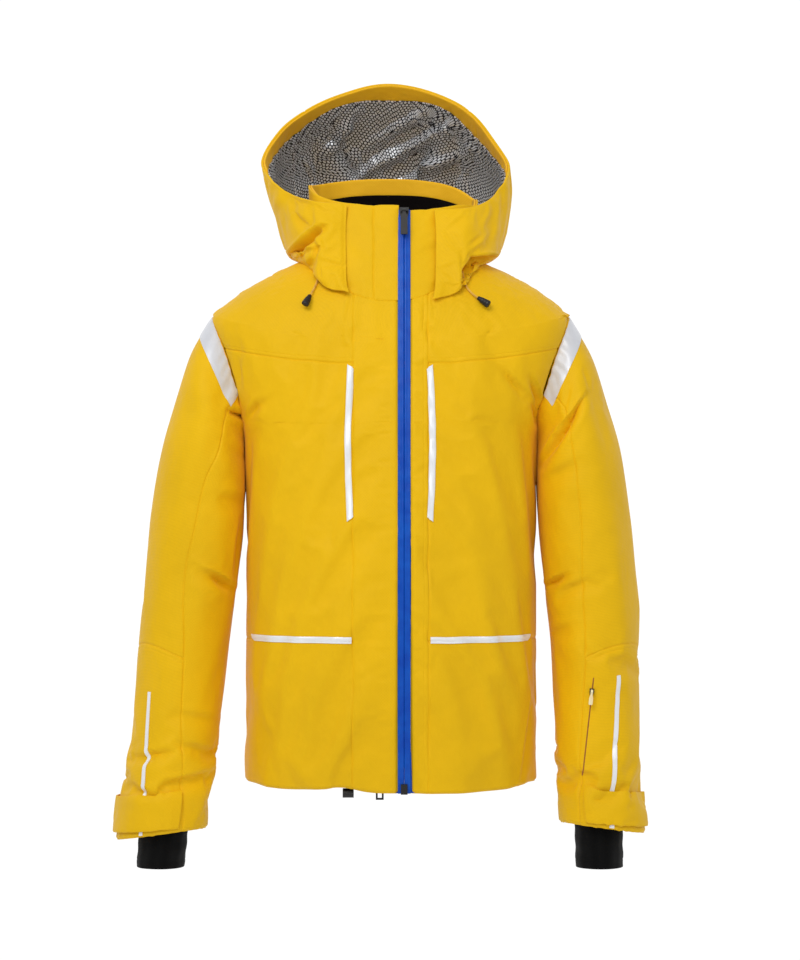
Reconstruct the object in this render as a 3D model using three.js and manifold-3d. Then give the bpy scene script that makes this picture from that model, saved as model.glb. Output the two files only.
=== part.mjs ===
// Insulated ski jacket with a hood, as separate garment panels, zips, cords and trims.
// Millimetres, +Z up. The origin is the nape of the neck, where the hanger loop is sewn in.
// The front of the jacket faces -Y, and the wearer's left side is +X.
import * as THREE from "three";
import Module from "manifold-3d";
import { mergeVertices } from "three/addons/utils/BufferGeometryUtils.js";

const wasm = await Module();
wasm.setup();

// ---------- driving dimensions ----------
const ZIP_RADIUS = 1600; // the front edge hangs along one arc of this radius, seen from the side
const ZIP_CENTRE_Y = 1363;
const ZIP_CENTRE_Z = -527;
const ZIP_X = 17; // the zip sits this far to the wearer's left of the middle
const ZIP_TAPE = 8; // visible width of each tape
const ZIP_TOP_Z = 36;
const ZIP_BOTTOM_Z = -708;
const SLIDER_Z = 31;
const BAR = 0.8; // radius of the bar a pull tab swings on
const BAR_Y = -8;
const STRIP_X = 48; // half width of the centre strips between the two long front seams
const SHELL = 3; // thickness of the padded outer fabric
const LINING_DEPTH = 7; // how far inside the outer surface the lining lies
const LINING = 2.5;
const GAP = 0.4; // clearance between neighbouring panels
const SUPERELLIPSE = 2.4;
const ARMHOLE_MIDDLE = 6; // loop of the torso at the middle of the armhole
const ARMHOLE_HALF_ANGLE = 20;
const TOP_LOOP = 10;

const COLOURS = {
  shell: [0xe9b41c, 0.62, 0],
  pocket: [0xe3ae19, 0.62, 0],
  hood: [0xe6b11b, 0.62, 0],
  reflective: [0xdde2ea, 0.35, 0.1],
  zip: [0x1e5ad2, 0.4, 0],
  hardware: [0x17171a, 0.45, 0.2],
  fleece: [0x0d0d0f, 0.95, 0],
  stretch: [0x0b0b0d, 0.7, 0],
  silver: [0x9a9da3, 0.35, 0.5],
  lining: [0x24262b, 0.7, 0],
  cord: [0xf3b53c, 0.7, 0],
  pull: [0xf2dfae, 0.5, 0],
};
const jacket = new THREE.Group();
jacket.name = "ski_jacket";

// ---------- small helpers ----------
const SIDES = [[-1, "right"], [1, "left"]];
const DEG = Math.PI / 180;
const P = (x, y, z) => new THREE.Vector3(x, y, z);
const lerp = THREE.MathUtils.lerp;
const power = (value, exponent) => Math.sign(value) * Math.abs(value) ** exponent;

// Catmull-Rom value at t, counted in list steps, through a list of numbers.
function along(list, t) {
  const last = list.length - 1;
  const i = Math.min(last - 1, Math.max(0, Math.floor(t)));
  const f = t - i;
  const at = (k) => list[Math.min(last, Math.max(0, k))];
  const [a, b, c, d] = [at(i - 1), at(i), at(i + 1), at(i + 2)];
  return b + 0.5 * f * (c - a + f * (2 * a - 5 * b + 4 * c - d + f * (3 * (b - c) + d - a)));
}

const alongPoints = (points, t) =>
  P(...["x", "y", "z"].map((axis) => along(points.map((p) => p[axis]), t)));

function material(name) {
  const [color, roughness, metalness] = COLOURS[name];
  return new THREE.MeshStandardMaterial({ color, roughness, metalness });
}

function add(name, geometry, finish, parent = jacket) {
  const mesh = new THREE.Mesh(geometry, material(finish));
  mesh.name = name;
  parent.add(mesh);
  return mesh;
}

// A closed solid between two grids of points. Both grids are functions of u and v from 0 to 1.
function slab(outer, inner, nu, nv, closed = false) {
  const columns = closed ? nu : nu + 1;
  const points = [];
  for (const side of [outer, inner])
    for (let j = 0; j <= nv; j++)
      for (let i = 0; i < columns; i++) points.push(side(i / nu, j / nv));
  const layer = columns * (nv + 1);
  const id = (side, i, j) => side * layer + j * columns + (i % columns);
  const faces = [];
  const quad = (a, b, c, d) => faces.push(a, b, c, a, c, d);
  for (let j = 0; j < nv; j++)
    for (let i = 0; i < nu; i++) {
      quad(id(0, i, j), id(0, i + 1, j), id(0, i + 1, j + 1), id(0, i, j + 1));
      quad(id(1, i, j), id(1, i, j + 1), id(1, i + 1, j + 1), id(1, i + 1, j));
    }
  for (let i = 0; i < nu; i++) {
    quad(id(1, i, 0), id(1, i + 1, 0), id(0, i + 1, 0), id(0, i, 0));
    quad(id(0, i, nv), id(0, i + 1, nv), id(1, i + 1, nv), id(1, i, nv));
  }
  for (let j = 0; !closed && j < nv; j++) {
    quad(id(0, 0, j), id(0, 0, j + 1), id(1, 0, j + 1), id(1, 0, j));
    quad(id(1, nu, j), id(1, nu, j + 1), id(0, nu, j + 1), id(0, nu, j));
  }
  return facingOut(points, faces);
}

// Turns every face round if the solid came out inside out.
function facingOut(points, faces) {
  let volume = 0;
  for (let i = 0; i < faces.length; i += 3) {
    const [a, b, c] = [points[faces[i]], points[faces[i + 1]], points[faces[i + 2]]];
    volume += a.dot(b.clone().cross(c));
  }
  if (volume < 0)
    for (let i = 0; i < faces.length; i += 3) [faces[i], faces[i + 1]] = [faces[i + 1], faces[i]];
  const geometry = new THREE.BufferGeometry().setFromPoints(points);
  geometry.setIndex(faces);
  return geometry;
}

// The point of a surface pushed out along its normal by height.
function raised(surface, u, v, height) {
  const step = 0.02;
  const du = surface(u + step, v).sub(surface(u - step, v));
  const dv = surface(u, v + step).sub(surface(u, v - step));
  return surface(u, v).addScaledVector(du.cross(dv).normalize(), height);
}

// A piece of cloth on a surface, from height low to height high above it. u is [from, to], whose
// ends may be functions of v. v is [from, to] cut into nv rows, or the list of every row.
function cloth(surface, { u, v, low, high, nu, nv, closed }) {
  const rows = v.length > 2 ? v : Array.from({ length: nv + 1 }, (_, j) => lerp(...v, j / nv));
  const end = (e, w) => (typeof e === "function" ? e(w) : e);
  const at = (height) => (s, t) => {
    const w = rows[Math.round(t * (rows.length - 1))];
    return raised(surface, lerp(end(u[0], w), end(u[1], w), s), w, height);
  };
  return slab(at(high), at(low), nu, rows.length - 1, closed);
}

function solidOf(geometry) {
  const bare = geometry.clone();
  bare.deleteAttribute("normal");
  bare.deleteAttribute("uv");
  const merged = mergeVertices(bare, 1e-4);
  const vertProperties = new Float32Array(merged.attributes.position.array);
  const triVerts = new Uint32Array(merged.index.array);
  return new wasm.Manifold(new wasm.Mesh({ numProp: 3, vertProperties, triVerts }));
}

function geometryOf(solid) {
  const mesh = solid.getMesh();
  const geometry = new THREE.BufferGeometry();
  const positions = new THREE.BufferAttribute(new Float32Array(mesh.vertProperties), 3);
  geometry.setAttribute("position", positions);
  geometry.setIndex(new THREE.BufferAttribute(new Uint32Array(mesh.triVerts), 1));
  return geometry;
}

const joined = (first, ...others) =>
  geometryOf(others.reduce((sum, g) => sum.add(solidOf(g)), solidOf(first)));

const box = (dx, dy, dz, x = 0, y = 0, z = 0) =>
  new THREE.BoxGeometry(dx, dy, dz).translate(x, y, z);

const barAlongX = (radius, length, x, y, z) =>
  new THREE.CylinderGeometry(radius, radius, length, 10).rotateZ(Math.PI / 2).translate(x, y, z);

// ---------- torso surface ----------
const zipY = (z) => ZIP_CENTRE_Y - Math.sqrt(ZIP_RADIUS ** 2 - (z - ZIP_CENTRE_Z) ** 2);

// Loops round the torso from the hem up to the neckline:
// height at the side, half width, y of the side, y of the back, height at the front, height at the back
const TORSO = [
  [-706, 187, -92, 42, -709, -714],
  [-610, 186, -92, 38, -611, -614],
  [-500, 185, -92, 36, -500, -502],
  [-380, 185, -91, 44, -381, -382],
  [-290, 186, -90, 54, -292, -290],
  [-238, 191, -88, 58, -240, -236],
  [-165, 218, -84, 56, -184, -165],
  [-99, 230, -80, 42, -130, -92],
  [-68, 191, -77, 26, -105, -52],
  [-44, 150, -74, 12, -92, -24],
  [-22, 104, -70, 2, -82, -2],
];

// angle is in degrees round from the front middle, positive towards the wearer's left.
function ringPoint(angle, halfWidth, sideY, frontY, backY, sideZ, frontZ, backZ) {
  const [s, c] = [Math.sin(angle * DEG), Math.cos(angle * DEG)];
  const depth = c > 0 ? sideY - frontY : backY - sideY;
  const endZ = c > 0 ? frontZ : backZ;
  return P(
    halfWidth * power(s, 2 / SUPERELLIPSE),
    sideY - depth * power(c, 2 / SUPERELLIPSE),
    sideZ + (endZ - sideZ) * c * c,
  );
}

function torso(angle, loop) {
  const [sideZ, halfWidth, sideY, backY, frontZ, backZ] = TORSO[0].map((_, k) =>
    along(TORSO.map((row) => row[k]), loop),
  );
  return ringPoint(angle, halfWidth, sideY, zipY(frontZ), backY, sideZ, frontZ, backZ);
}

// The collar stands on the neckline and is taller behind: t is 0 at the seam and 1 at the top.
function collar(angle, t) {
  const [halfWidth, sideY, backY] = [lerp(104, 108, t), lerp(-70, -64, t), lerp(2, -4, t)];
  const [sideZ, frontZ, backZ] = [lerp(-22, 73, t), lerp(-82, 42, t), lerp(-2, 92, t)];
  return ringPoint(angle, halfWidth, sideY, zipY(frontZ), backY, sideZ, frontZ, backZ);
}

// The angle at which a loop of that half width reaches x.
const angleAt = (x, halfWidth) =>
  Math.asin(power(x / halfWidth, SUPERELLIPSE / 2)) / DEG;
const torsoAngle = (x) => (loop) => angleAt(x, along(TORSO.map((row) => row[1]), loop));
const collarAngle = (x) => (t) => angleAt(x, lerp(104, 108, t));

// The armhole's edge, as an angle from the side line, at a loop.
function armhole(loop) {
  const off = Math.abs(loop - ARMHOLE_MIDDLE);
  return off < 1 ? ARMHOLE_HALF_ANGLE * Math.sqrt(1 - off * off) : 0;
}

// ---------- torso panels ----------
const YOKE_LOOP = 6.35; // front yoke seam
const BACK_YOKE_LOOP = 6.2;
const POCKET_LOOP = 1.8; // seam above the hand pockets
const SEAM = 0.02; // clearance at a level seam, counted in loops
const CORNER = 0.25; // clearance at an upright seam, in degrees

// Rows of the panels that run up to and round the armhole, closest together where it curves most.
const BELOW_ARMHOLE = [2.6, 3.4, 4.2, 4.8, 4.98, 5.03, 5.12, 5.3, 5.6, 5.95];
const BESIDE_ARMHOLE = [6.55, 6.75, 6.9, 6.98, 7.03, 7.3, 7.8, 8.5, 9.2];

function torsoPanels() {
  for (const [side, name] of SIDES) {
    const inner = (loop) => side * torsoAngle(STRIP_X)(loop) + side * CORNER;
    const outer = (loop) => side * (90 - armhole(loop) - CORNER);
    const panel = (part, v, finish = "shell") =>
      add(`${part}_${name}`, cloth(torso, { u: [inner, outer], v, low: -SHELL, high: 0, nu: 7 }),
        finish);
    panel("pocket_panel", [0, 0.6, 1.2, POCKET_LOOP - SEAM], "pocket");
    panel("chest_panel", [POCKET_LOOP + SEAM, ...BELOW_ARMHOLE, YOKE_LOOP - SEAM]);
    panel("front_yoke", [YOKE_LOOP + SEAM, ...BESIDE_ARMHOLE, TOP_LOOP]);
    const edge = torsoAngle(ZIP_X + side * (ZIP_TAPE + GAP));
    const seam = (loop) => side * torsoAngle(STRIP_X)(loop) - side * CORNER;
    add(`centre_strip_${name}`,
      cloth(torso, { u: [edge, seam], v: [0, TOP_LOOP], low: -SHELL, high: 0, nu: 2, nv: 14 }),
      "shell");
  }
  const from = (loop) => 90 + armhole(loop) + CORNER;
  const to = (loop) => 270 - armhole(loop) - CORNER;
  add("back_panel",
    cloth(torso, { u: [from, to], v: [0, 0.9, 1.8, ...BELOW_ARMHOLE, BACK_YOKE_LOOP - SEAM],
      low: -SHELL, high: 0, nu: 12 }), "shell");
  add("back_yoke",
    cloth(torso, { u: [from, to], v: [BACK_YOKE_LOOP + SEAM, ...BESIDE_ARMHOLE, TOP_LOOP],
      low: -SHELL, high: 0, nu: 12 }), "shell");
}

// The lining and the powder skirt are open at the front, and the skirt hangs inside the hem.
const FACING = 14; // from the middle of the zip to the lining's front edge
const SKIRT = { from: 12, to: 348, bottom: 0.45, top: 1.6, bottomDepth: 20, topDepth: 12 };

function insides() {
  const start = (loop) => torsoAngle(ZIP_X + FACING)(loop);
  const end = (loop) => 360 + torsoAngle(ZIP_X - FACING)(loop);
  add("body_lining",
    cloth(torso, { u: [start, end], v: [0.25, 5], low: -LINING_DEPTH - LINING,
      high: -LINING_DEPTH, nu: 20, nv: 5 }), "lining");
  const skirt = (angle, t) =>
    raised(torso, angle, lerp(SKIRT.bottom, SKIRT.top, t), -lerp(SKIRT.bottomDepth, SKIRT.topDepth, t));
  const u = [SKIRT.from, SKIRT.to];
  add("powder_skirt", cloth(skirt, { u, v: [0, 1], low: -2, high: 0, nu: 20, nv: 2 }), "stretch");
}

// ---------- main zip ----------
// A strip bent along the front arc, at a height above it, between two x and two z.
function arcStrip(x0, x1, z0, z1, low, high, steps) {
  const at = (height) => (s, t) => {
    const angle = Math.asin((lerp(z0, z1, t) - ZIP_CENTRE_Z) / ZIP_RADIUS);
    const radius = ZIP_RADIUS + height;
    return P(lerp(x0, x1, s), ZIP_CENTRE_Y - radius * Math.cos(angle),
      ZIP_CENTRE_Z + radius * Math.sin(angle));
  };
  return slab(at(high), at(low), 1, steps);
}

// A group whose origin is on the front arc at height z, with +Z up the arc and -Y outwards.
function onArc(x, z) {
  const group = new THREE.Group();
  group.position.set(x, zipY(z), z);
  group.rotation.x = Math.asin((z - ZIP_CENTRE_Z) / ZIP_RADIUS) * -1;
  jacket.add(group);
  return group;
}

// A flat plate cut to an outline in X and Z, of that thickness, with its back face at y = 0.
function plate(outline, thickness) {
  const shape = new THREE.Shape(outline.map(([x, z]) => new THREE.Vector2(x, z)));
  const options = { depth: thickness, bevelEnabled: false };
  return new THREE.ExtrudeGeometry(shape, options).rotateX(Math.PI / 2);
}

// A pull tab hanging down from a ring round the X axis.
function pull(ringWidth, width, length) {
  const ring = barAlongX(2.5, ringWidth, 0, 0, 0);
  const neck = box(ringWidth, 1.8, 6, 0, -0.2, -4.4);
  const half = width / 2;
  const outline = [[-ringWidth / 2, -5], [ringWidth / 2, -5], [half, -8], [half, -length + 1],
    [half - 1, -length], [1 - half, -length], [-half, -length + 1], [-half, -8]];
  const blade = plate(outline, 1.8).translate(0, 0.7, 0);
  const hole = barAlongX(BAR + 0.35, ringWidth + 4, 0, 0, 0);
  return geometryOf(solidOf(joined(ring, neck, blade)).subtract(solidOf(hole)));
}

function mainZip() {
  for (const [side, name] of SIDES) {
    const near = ZIP_X + side * 0.3;
    const far = ZIP_X + side * ZIP_TAPE;
    const coil = ZIP_X + side * 3.2;
    const tape = arcStrip(near, far, ZIP_BOTTOM_Z, ZIP_TOP_Z, -0.6, 0.6, 18);
    const teeth = arcStrip(near, coil, ZIP_BOTTOM_Z + 4, ZIP_TOP_Z - 2, -3, -0.4, 18);
    add(`zip_tape_${name}`, joined(tape, teeth), "zip");
  }
  const foot = onArc(ZIP_X, ZIP_BOTTOM_Z + 8);
  add("zip_retaining_box", box(8.5, 3.6, 13, 0, -3, -2), "hardware", foot);
  const slider = onArc(ZIP_X, SLIDER_Z);
  const outline = [[-6, 7], [6, 7], [6, 1], [4.3, -7.5], [-4.3, -7.5], [-6, 1]];
  const body = plate(outline, 4.2).translate(0, -0.8, 0);
  const posts = [-3.6, 3.6].map((x) => box(1.4, 6, 3.6, x, -6.6, 1.5));
  add("zip_slider", joined(body, ...posts, barAlongX(BAR, 8, 0, BAR_Y, 1.5)), "hardware", slider);
  add("zip_pull", pull(4.6, 9, 34).translate(0, BAR_Y, 1.5), "hardware", slider);
}

// ---------- pockets ----------
// Heights on the front middle, and distances from the middle.
const CHEST_WELT = { inner: 50.5, width: 8, top: -168, bottom: -362 };
const POCKET_WELT = { inner: 50, outer: 176, top: 1.78, bottom: 1.69 };

function pockets() {
  for (const [side, name] of SIDES) {
    const { inner, width, top, bottom } = CHEST_WELT;
    const flat = (x, z) => {
      const loop = loopAtFrontZ(z);
      return torso(side * torsoAngle(x)(loop), loop);
    };
    const bowed = (s, t) => {
      const bow = 3.5 * Math.sin(Math.PI * t);
      return flat(inner + bow + s * width, lerp(bottom, top, t));
    };
    const welt = (height) => (s, t) => raised(bowed, s, t, side * height);
    add(`chest_welt_${name}`, slab(welt(4.4), welt(3.4), 1, 10), "reflective");
    const band = POCKET_WELT;
    const u = [(l) => side * torsoAngle(band.inner)(l), (l) => side * torsoAngle(band.outer)(l)];
    add(`pocket_welt_${name}`,
      cloth(torso, { u, v: [band.bottom, band.top], low: 0.4, high: 1.4, nu: 8, nv: 1 }),
      "reflective");
  }
}

// The loop whose front middle is at height z.
function loopAtFrontZ(z) {
  let [low, high] = [0, TOP_LOOP];
  for (let i = 0; i < 30; i++) {
    const middle = (low + high) / 2;
    if (along(TORSO.map((row) => row[4]), middle) < z) low = middle;
    else high = middle;
  }
  return low;
}

// ---------- collar ----------
function collarPieces() {
  const from = (t) => collarAngle(ZIP_X + ZIP_TAPE + GAP)(t);
  const to = (t) => 360 + collarAngle(ZIP_X - ZIP_TAPE - GAP)(t);
  const ring = (low, high, v, nv) =>
    cloth(collar, { u: [from, to], v, low, high, nu: 22, nv });
  add("collar_shell", ring(-2.6, 0, [0.03, 1], 3), "shell");
  add("collar_facing", ring(-5.4, -3, [0.78, 1], 1), "shell");
  add("collar_lining", ring(-5.4, -3, [0.03, 0.77], 2), "fleece");
  const loop = joined(box(44, 1.6, 5, 0, 0, -6), box(5, 1.6, 14, -19.5, 0, -0.5),
    box(5, 1.6, 14, 19.5, 0, -0.5));
  loop.translate(0, -6.4, 3);
  add("hanger_loop", loop, "stretch");
}

// ---------- hood ----------
// Half of the hood as lines from the neck seam out round the bag to the rim, from the back middle
// round to the front end. Each line is five points.
const onYoke = (angle, loop) => raised(torso, angle, loop, 7);
const HOOD = [
  [P(0, 10, 4), P(0, 92, -46), P(0, 178, 2), P(0, 172, 118), P(0, 75, 222)],
  [P(62, 0, 4), P(76, 78, -40), P(88, 155, 2), P(92, 150, 112), P(70, 63, 206)],
  [P(98, -34, -4), P(120, 26, -26), P(142, 92, 6), P(146, 92, 94), P(126, 40, 170)],
  [onYoke(91, 9.75), P(137, -42, -22), P(150, -8, 8), P(160, 2, 66), P(162, -6, 116)],
  [onYoke(66, 9.47), P(137, -92, -24), P(144, -74, 4), P(154, -56, 50), P(158, -50, 86)],
  [onYoke(47.5, 9.39), P(117, -142, -42), P(124, -126, -8), P(130, -104, 32), P(132, -92, 58)],
  [onYoke(33, 9.32), P(88, -165, -54), P(92, -152, -16), P(96, -142, 18), P(98, -128, 47)],
  [onYoke(19.5, 9.3), P(58, -168, -60), P(59, -153, -16), P(59, -143, 14), P(58, -135, 44)],
];
const HOOD_END = HOOD.length - 1;
const HOOD_SIDE = 1.7; // seam between the crown and the side panels
const HOOD_FOLD_LINE = 3.6; // beyond this the hood is held by the collar
const HOOD_NECK = 1.5; // below this the hood is held by the neck seam
const BRIM_START = 3.72;

// u runs from -HOOD_END at the wearer's left end to HOOD_END at the right end. v is 0 to 4.
function hood(u, v) {
  const side = u < 0 ? 1 : -1;
  const lines = HOOD.map((line) => alongPoints(line, v));
  // the first line is on the middle, so its neighbour is repeated on the far side
  const mirrored = [lines[1].clone().multiply(P(-1, 1, 1)), ...lines];
  const point = alongPoints(mirrored, Math.abs(u) + 1);
  return P(side * point.x, point.y, point.z);
}

function hoodPieces() {
  const piece = (name, u, v, low, high, nu, nv, finish = "hood") =>
    add(name, cloth(hood, { u, v, low, high, nu, nv }), finish);
  const gap = 0.012;
  const split = HOOD_NECK + gap;
  piece("hood_crown_panel", [-HOOD_SIDE + gap, HOOD_SIDE - gap], [split, 4], -2.5, 0, 8, 9);
  piece("hood_side_panel_left", [-HOOD_FOLD_LINE, -HOOD_SIDE - gap], [split, 4], -2.5, 0, 5, 9);
  piece("hood_side_panel_right", [HOOD_SIDE + gap, HOOD_FOLD_LINE], [split, 4], -2.5, 0, 5, 9);
  const wide = [-HOOD_FOLD_LINE, HOOD_FOLD_LINE];
  piece("hood_lining", wide, [split, BRIM_START - gap], -7, -4.5, 16, 8, "silver");
  piece("hood_brim", wide, [BRIM_START, 4], -7, -4.5, 16, 2);
  const neck = [0.06 - HOOD_FOLD_LINE, HOOD_FOLD_LINE - 0.06];
  piece("hood_neck_panel", neck, [0.05, HOOD_NECK - gap], -4.4, 0, 16, 4);
  const beyond = HOOD_FOLD_LINE + gap;
  piece("hood_front_left", [-HOOD_END, -beyond], [0.02, 4], -3, 0, 7, 8);
  piece("hood_front_right", [beyond, HOOD_END], [0.02, 4], -3, 0, 7, 8);
}

// ---------- drawcords ----------
// Each cord comes out under the hood's lower front corner and lies on the yoke.
const CORD_DIAMETER = 2.4;
const CORD_ROUTE = {
  right: [P(-92, -137.5, -42), P(-93, -145, -50), P(-95.5, -152, -59), P(-98, -156.7, -65),
    P(-100.8, -161, -70.5), P(-103.3, -165, -75.3)],
  left: [P(92, -139.7, -44), P(93.8, -148.3, -54), P(97.4, -156, -64.7), P(101.4, -159.5, -70),
    P(105.8, -162.5, -74.6), P(111.5, -165.2, -78.6)],
};

function drawcords() {
  for (const [name, route] of Object.entries(CORD_ROUTE)) {
    const section = new THREE.Shape();
    section.absarc(0, 0, CORD_DIAMETER / 2, 0, 2 * Math.PI);
    const path = new THREE.CatmullRomCurve3(route);
    const cord = new THREE.ExtrudeGeometry(section, {
      extrudePath: path, steps: 8, curveSegments: 8, bevelEnabled: false,
    });
    add(`drawcord_${name}`, cord, "cord");
    const end = route[route.length - 1];
    const direction = path.getTangent(1);
    const toggle = new THREE.CylinderGeometry(5.2, 3, 18, 10).scale(1, 1, 0.75);
    const mesh = add(`toggle_${name}`, toggle, "hardware");
    mesh.position.copy(end).addScaledVector(direction, 9.4);
    mesh.quaternion.setFromUnitVectors(P(0, 1, 0), direction);
  }
}

// ---------- sleeves ----------
// Rings down the left sleeve after the armhole: centre, then the vectors to the outer and to the
// front point of the ring.
const SLEEVE = [
  [P(227, -86, -204), P(32, 0, 56), P(4, -70, -2)],
  [P(236.5, -88, -254), P(42, 0, 46), P(1, -75, 0)],
  [P(246, -90, -308), P(52, 0, 36), P(0, -75, 0)],
  [P(252.5, -92, -375), P(58, 0, 20), P(0, -73, 0)],
  [P(258.5, -94, -446), P(59.5, 0, 6), P(0, -70, 0)],
  [P(264, -97, -524), P(57, 0, 4), P(0, -67, -2)],
  [P(266, -108, -608), P(54.5, 0, 0), P(0, -63, -5)],
  [P(268.5, -120, -686), P(53.5, 0, -4), P(0, -60, -3)],
  [P(272.5, -133, -760), P(54, 0, -7), P(0, -57, 4)],
];
// The right forearm hangs this much further out and down at the cuff, and is this much wider.
const RIGHT_SPLAY = 27;
const RIGHT_DROP = 8;
const RIGHT_FLARE = 8;
const SPLAY_FROM_Z = -450;
const CUFF_Z = -760;
const CAP_END = 2; // ring at the end of the sleeve cap
const ELBOW_START = 4.45;
const ELBOW_END = 6.15;
const CUFF_RING = SLEEVE.length;

// angle is 0 on the outer side, 90 in front, 180 inside and 270 behind; ring 0 is the armhole.
function sleeve(side) {
  return (angle, ring) => {
    const turn = angle * DEG;
    const rings = SLEEVE.map(([centre, outer, front]) => centre.clone()
      .addScaledVector(outer, Math.cos(turn)).addScaledVector(front, Math.sin(turn)));
    const top = torso(90 - ARMHOLE_HALF_ANGLE * Math.sin(turn), ARMHOLE_MIDDLE + Math.cos(turn));
    const point = alongPoints([top, ...rings], ring);
    if (side > 0) return point;
    const share = Math.max(0, (SPLAY_FROM_Z - point.z) / (SPLAY_FROM_Z - CUFF_Z));
    const flare = RIGHT_FLARE * (1 - Math.cos(turn)) / 2;
    return P(-point.x + (flare - RIGHT_SPLAY) * share, point.y, point.z - RIGHT_DROP * share);
  };
}

// The wrist gaiter is a stretch tube that starts inside the cuff. Each pair of numbers is its value
// at the top and at the end.
const GAITER = {
  halfWidth: [32, 30.5], halfDepth: [38, 35], y: [-131, -144], z: [-722, -808],
  leftX: [267.5, 268], rightX: [-289, -296.5],
};

function gaiter(side) {
  return (angle, t) => {
    const [c, s] = [Math.cos(angle * DEG), Math.sin(angle * DEG)];
    const centre = lerp(...(side > 0 ? GAITER.leftX : GAITER.rightX), t);
    const [width, depth] = [lerp(...GAITER.halfWidth, t), lerp(...GAITER.halfDepth, t)];
    return P(centre + side * width * c, lerp(...GAITER.y, t) - depth * s, lerp(...GAITER.z, t));
  };
}

// Where the forearm stripes start, and the degrees that they turn forward down to the cuff.
const FOREARM_STRIPE = {
  right: { u: [49, 54], start: 6.64, turn: 15 },
  left: { u: [58, 64], start: 6.45, turn: 20 },
};

function sleevePieces() {
  for (const [side, name] of SIDES) {
    const surface = sleeve(side);
    // side also turns a height the right way: the right sleeve's surface is a mirror image
    const tube = (part, v) =>
      add(`${part}_${name}`, cloth(surface, { u: [0, 360], v, low: -SHELL * side, high: 0,
        nu: 16, closed: true }), "shell");
    tube("sleeve_cap", [0.1, 0.28, 0.46, 1.2, CAP_END - 0.02]);
    tube("upper_sleeve", [CAP_END + 0.02, 2.8, 3.6, ELBOW_START - 0.02]);
    tube("elbow_panel", [ELBOW_START + 0.02, 5, 5.6, ELBOW_END - 0.02]);
    tube("forearm_sleeve", [ELBOW_END + 0.02, 6.6, 7.2, 7.8, 8.4, CUFF_RING]);
    const patch = (part, u, v, low, high, nu, finish, on = surface) =>
      add(`${part}_${name}`,
        cloth(on, { u, v, low: low * side, high: high * side, nu, nv: 1 }), finish);
    const stripe = FOREARM_STRIPE[name];
    const slanted = (angle, ring) =>
      surface(angle + stripe.turn * (ring - stripe.start) / (CUFF_RING - stripe.start), ring);
    patch("shoulder_stripe", [112.5, -112.5], [0.1, 0.34, 0.58], 0.8, 1.8, 10, "reflective");
    patch("forearm_stripe", stripe.u, [stripe.start, 7.2, 7.8, 8.4, CUFF_RING - 0.03], 0.8, 1.6, 1,
      "reflective", slanted);
    patch("cuff_tab", [112.5, -22.5], [8.26, 8.4, 8.86], 3.7, 5.3, 6, "shell");
    patch("hook_patch", [12, -20], [8.38, 8.76], 0.9, 1.9, 3, "stretch");
    const wrist = gaiter(side);
    add(`gaiter_${name}`, cloth(wrist, { u: [0, 360], v: [0, 1], low: -2.4 * side, high: 0,
      nu: 16, nv: 3, closed: true }), "stretch");
  }
}

// ---------- sleeve pocket on the left forearm ----------
const SLEEVE_POCKET = { top: P(258.5, 0, -567), bottom: P(245.5, 0, -686) };

// The front of the left sleeve at x and z.
function sleeveFront(x, z) {
  const surface = sleeve(1);
  let [angle, ring] = [90, 7];
  for (let i = 0; i < 40; i++) {
    const p = surface(angle, ring);
    ring += (p.z - z) / 80;
    angle += (p.x - x) * 0.8;
  }
  return surface(angle, ring);
}

function sleevePocket() {
  const top = sleeveFront(SLEEVE_POCKET.top.x, SLEEVE_POCKET.top.z);
  const bottom = sleeveFront(SLEEVE_POCKET.bottom.x, SLEEVE_POCKET.bottom.z);
  const axis = top.clone().sub(bottom);
  const pocket = new THREE.Group();
  pocket.position.copy(top).add(bottom).multiplyScalar(0.5);
  pocket.quaternion.setFromUnitVectors(P(0, 0, 1), axis.clone().normalize());
  jacket.add(pocket);
  const half = axis.length() / 2;
  const slide = new THREE.Group();
  slide.position.z = half - 16;
  pocket.add(slide);
  const outline = [[-3, 4], [3, 4], [2.2, -4.5], [-2.2, -4.5]];
  const ears = [-2.3, 2.3].map((x) => box(0.9, 5.4, 2.6, x, -6, 0));
  const body = joined(plate(outline, 2.2).translate(0, -2.2, 0), ...ears,
    barAlongX(BAR, 5, 0, -7.4, 0));
  add("sleeve_zip_slider", body, "hardware", slide);
  add("sleeve_zip_pull", pull(3, 5, 17).translate(0, -7.4, 0), "pull", slide);
}

// ---------- small trims ----------
function trims() {
  const lock = new THREE.CylinderGeometry(6, 6, 14, 12).rotateZ(Math.PI / 2);
  add("hem_cord_lock", lock.translate(-54, -206, -709), "hardware");
  const ring = joined(box(10, 2.4, 2.4, 0, 0, -8), box(10, 2.4, 2.4, 0, 0, 6),
    box(2.4, 2.4, 16, -3.8, 0, -1), box(2.4, 2.4, 16, 3.8, 0, -1));
  add("hem_pull_loop", ring.translate(-14, -200, -709), "hardware");
}

torsoPanels();
insides();
mainZip();
pockets();
collarPieces();
hoodPieces();
drawcords();
sleevePieces();
sleevePocket();
trims();

export default jacket;
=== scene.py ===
# Insulated ski jacket with a hood: the fabric, stitching, zips, cords and studio round the CAD
# frame. Shapes are worked out in millimetres in the frame's own axes and turned into metres when a
# mesh is made. The front faces -Y and the wearer's left is +X.
import math

import bpy
import numpy as np
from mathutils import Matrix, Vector, noise
from mathutils.bvhtree import BVHTree


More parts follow.
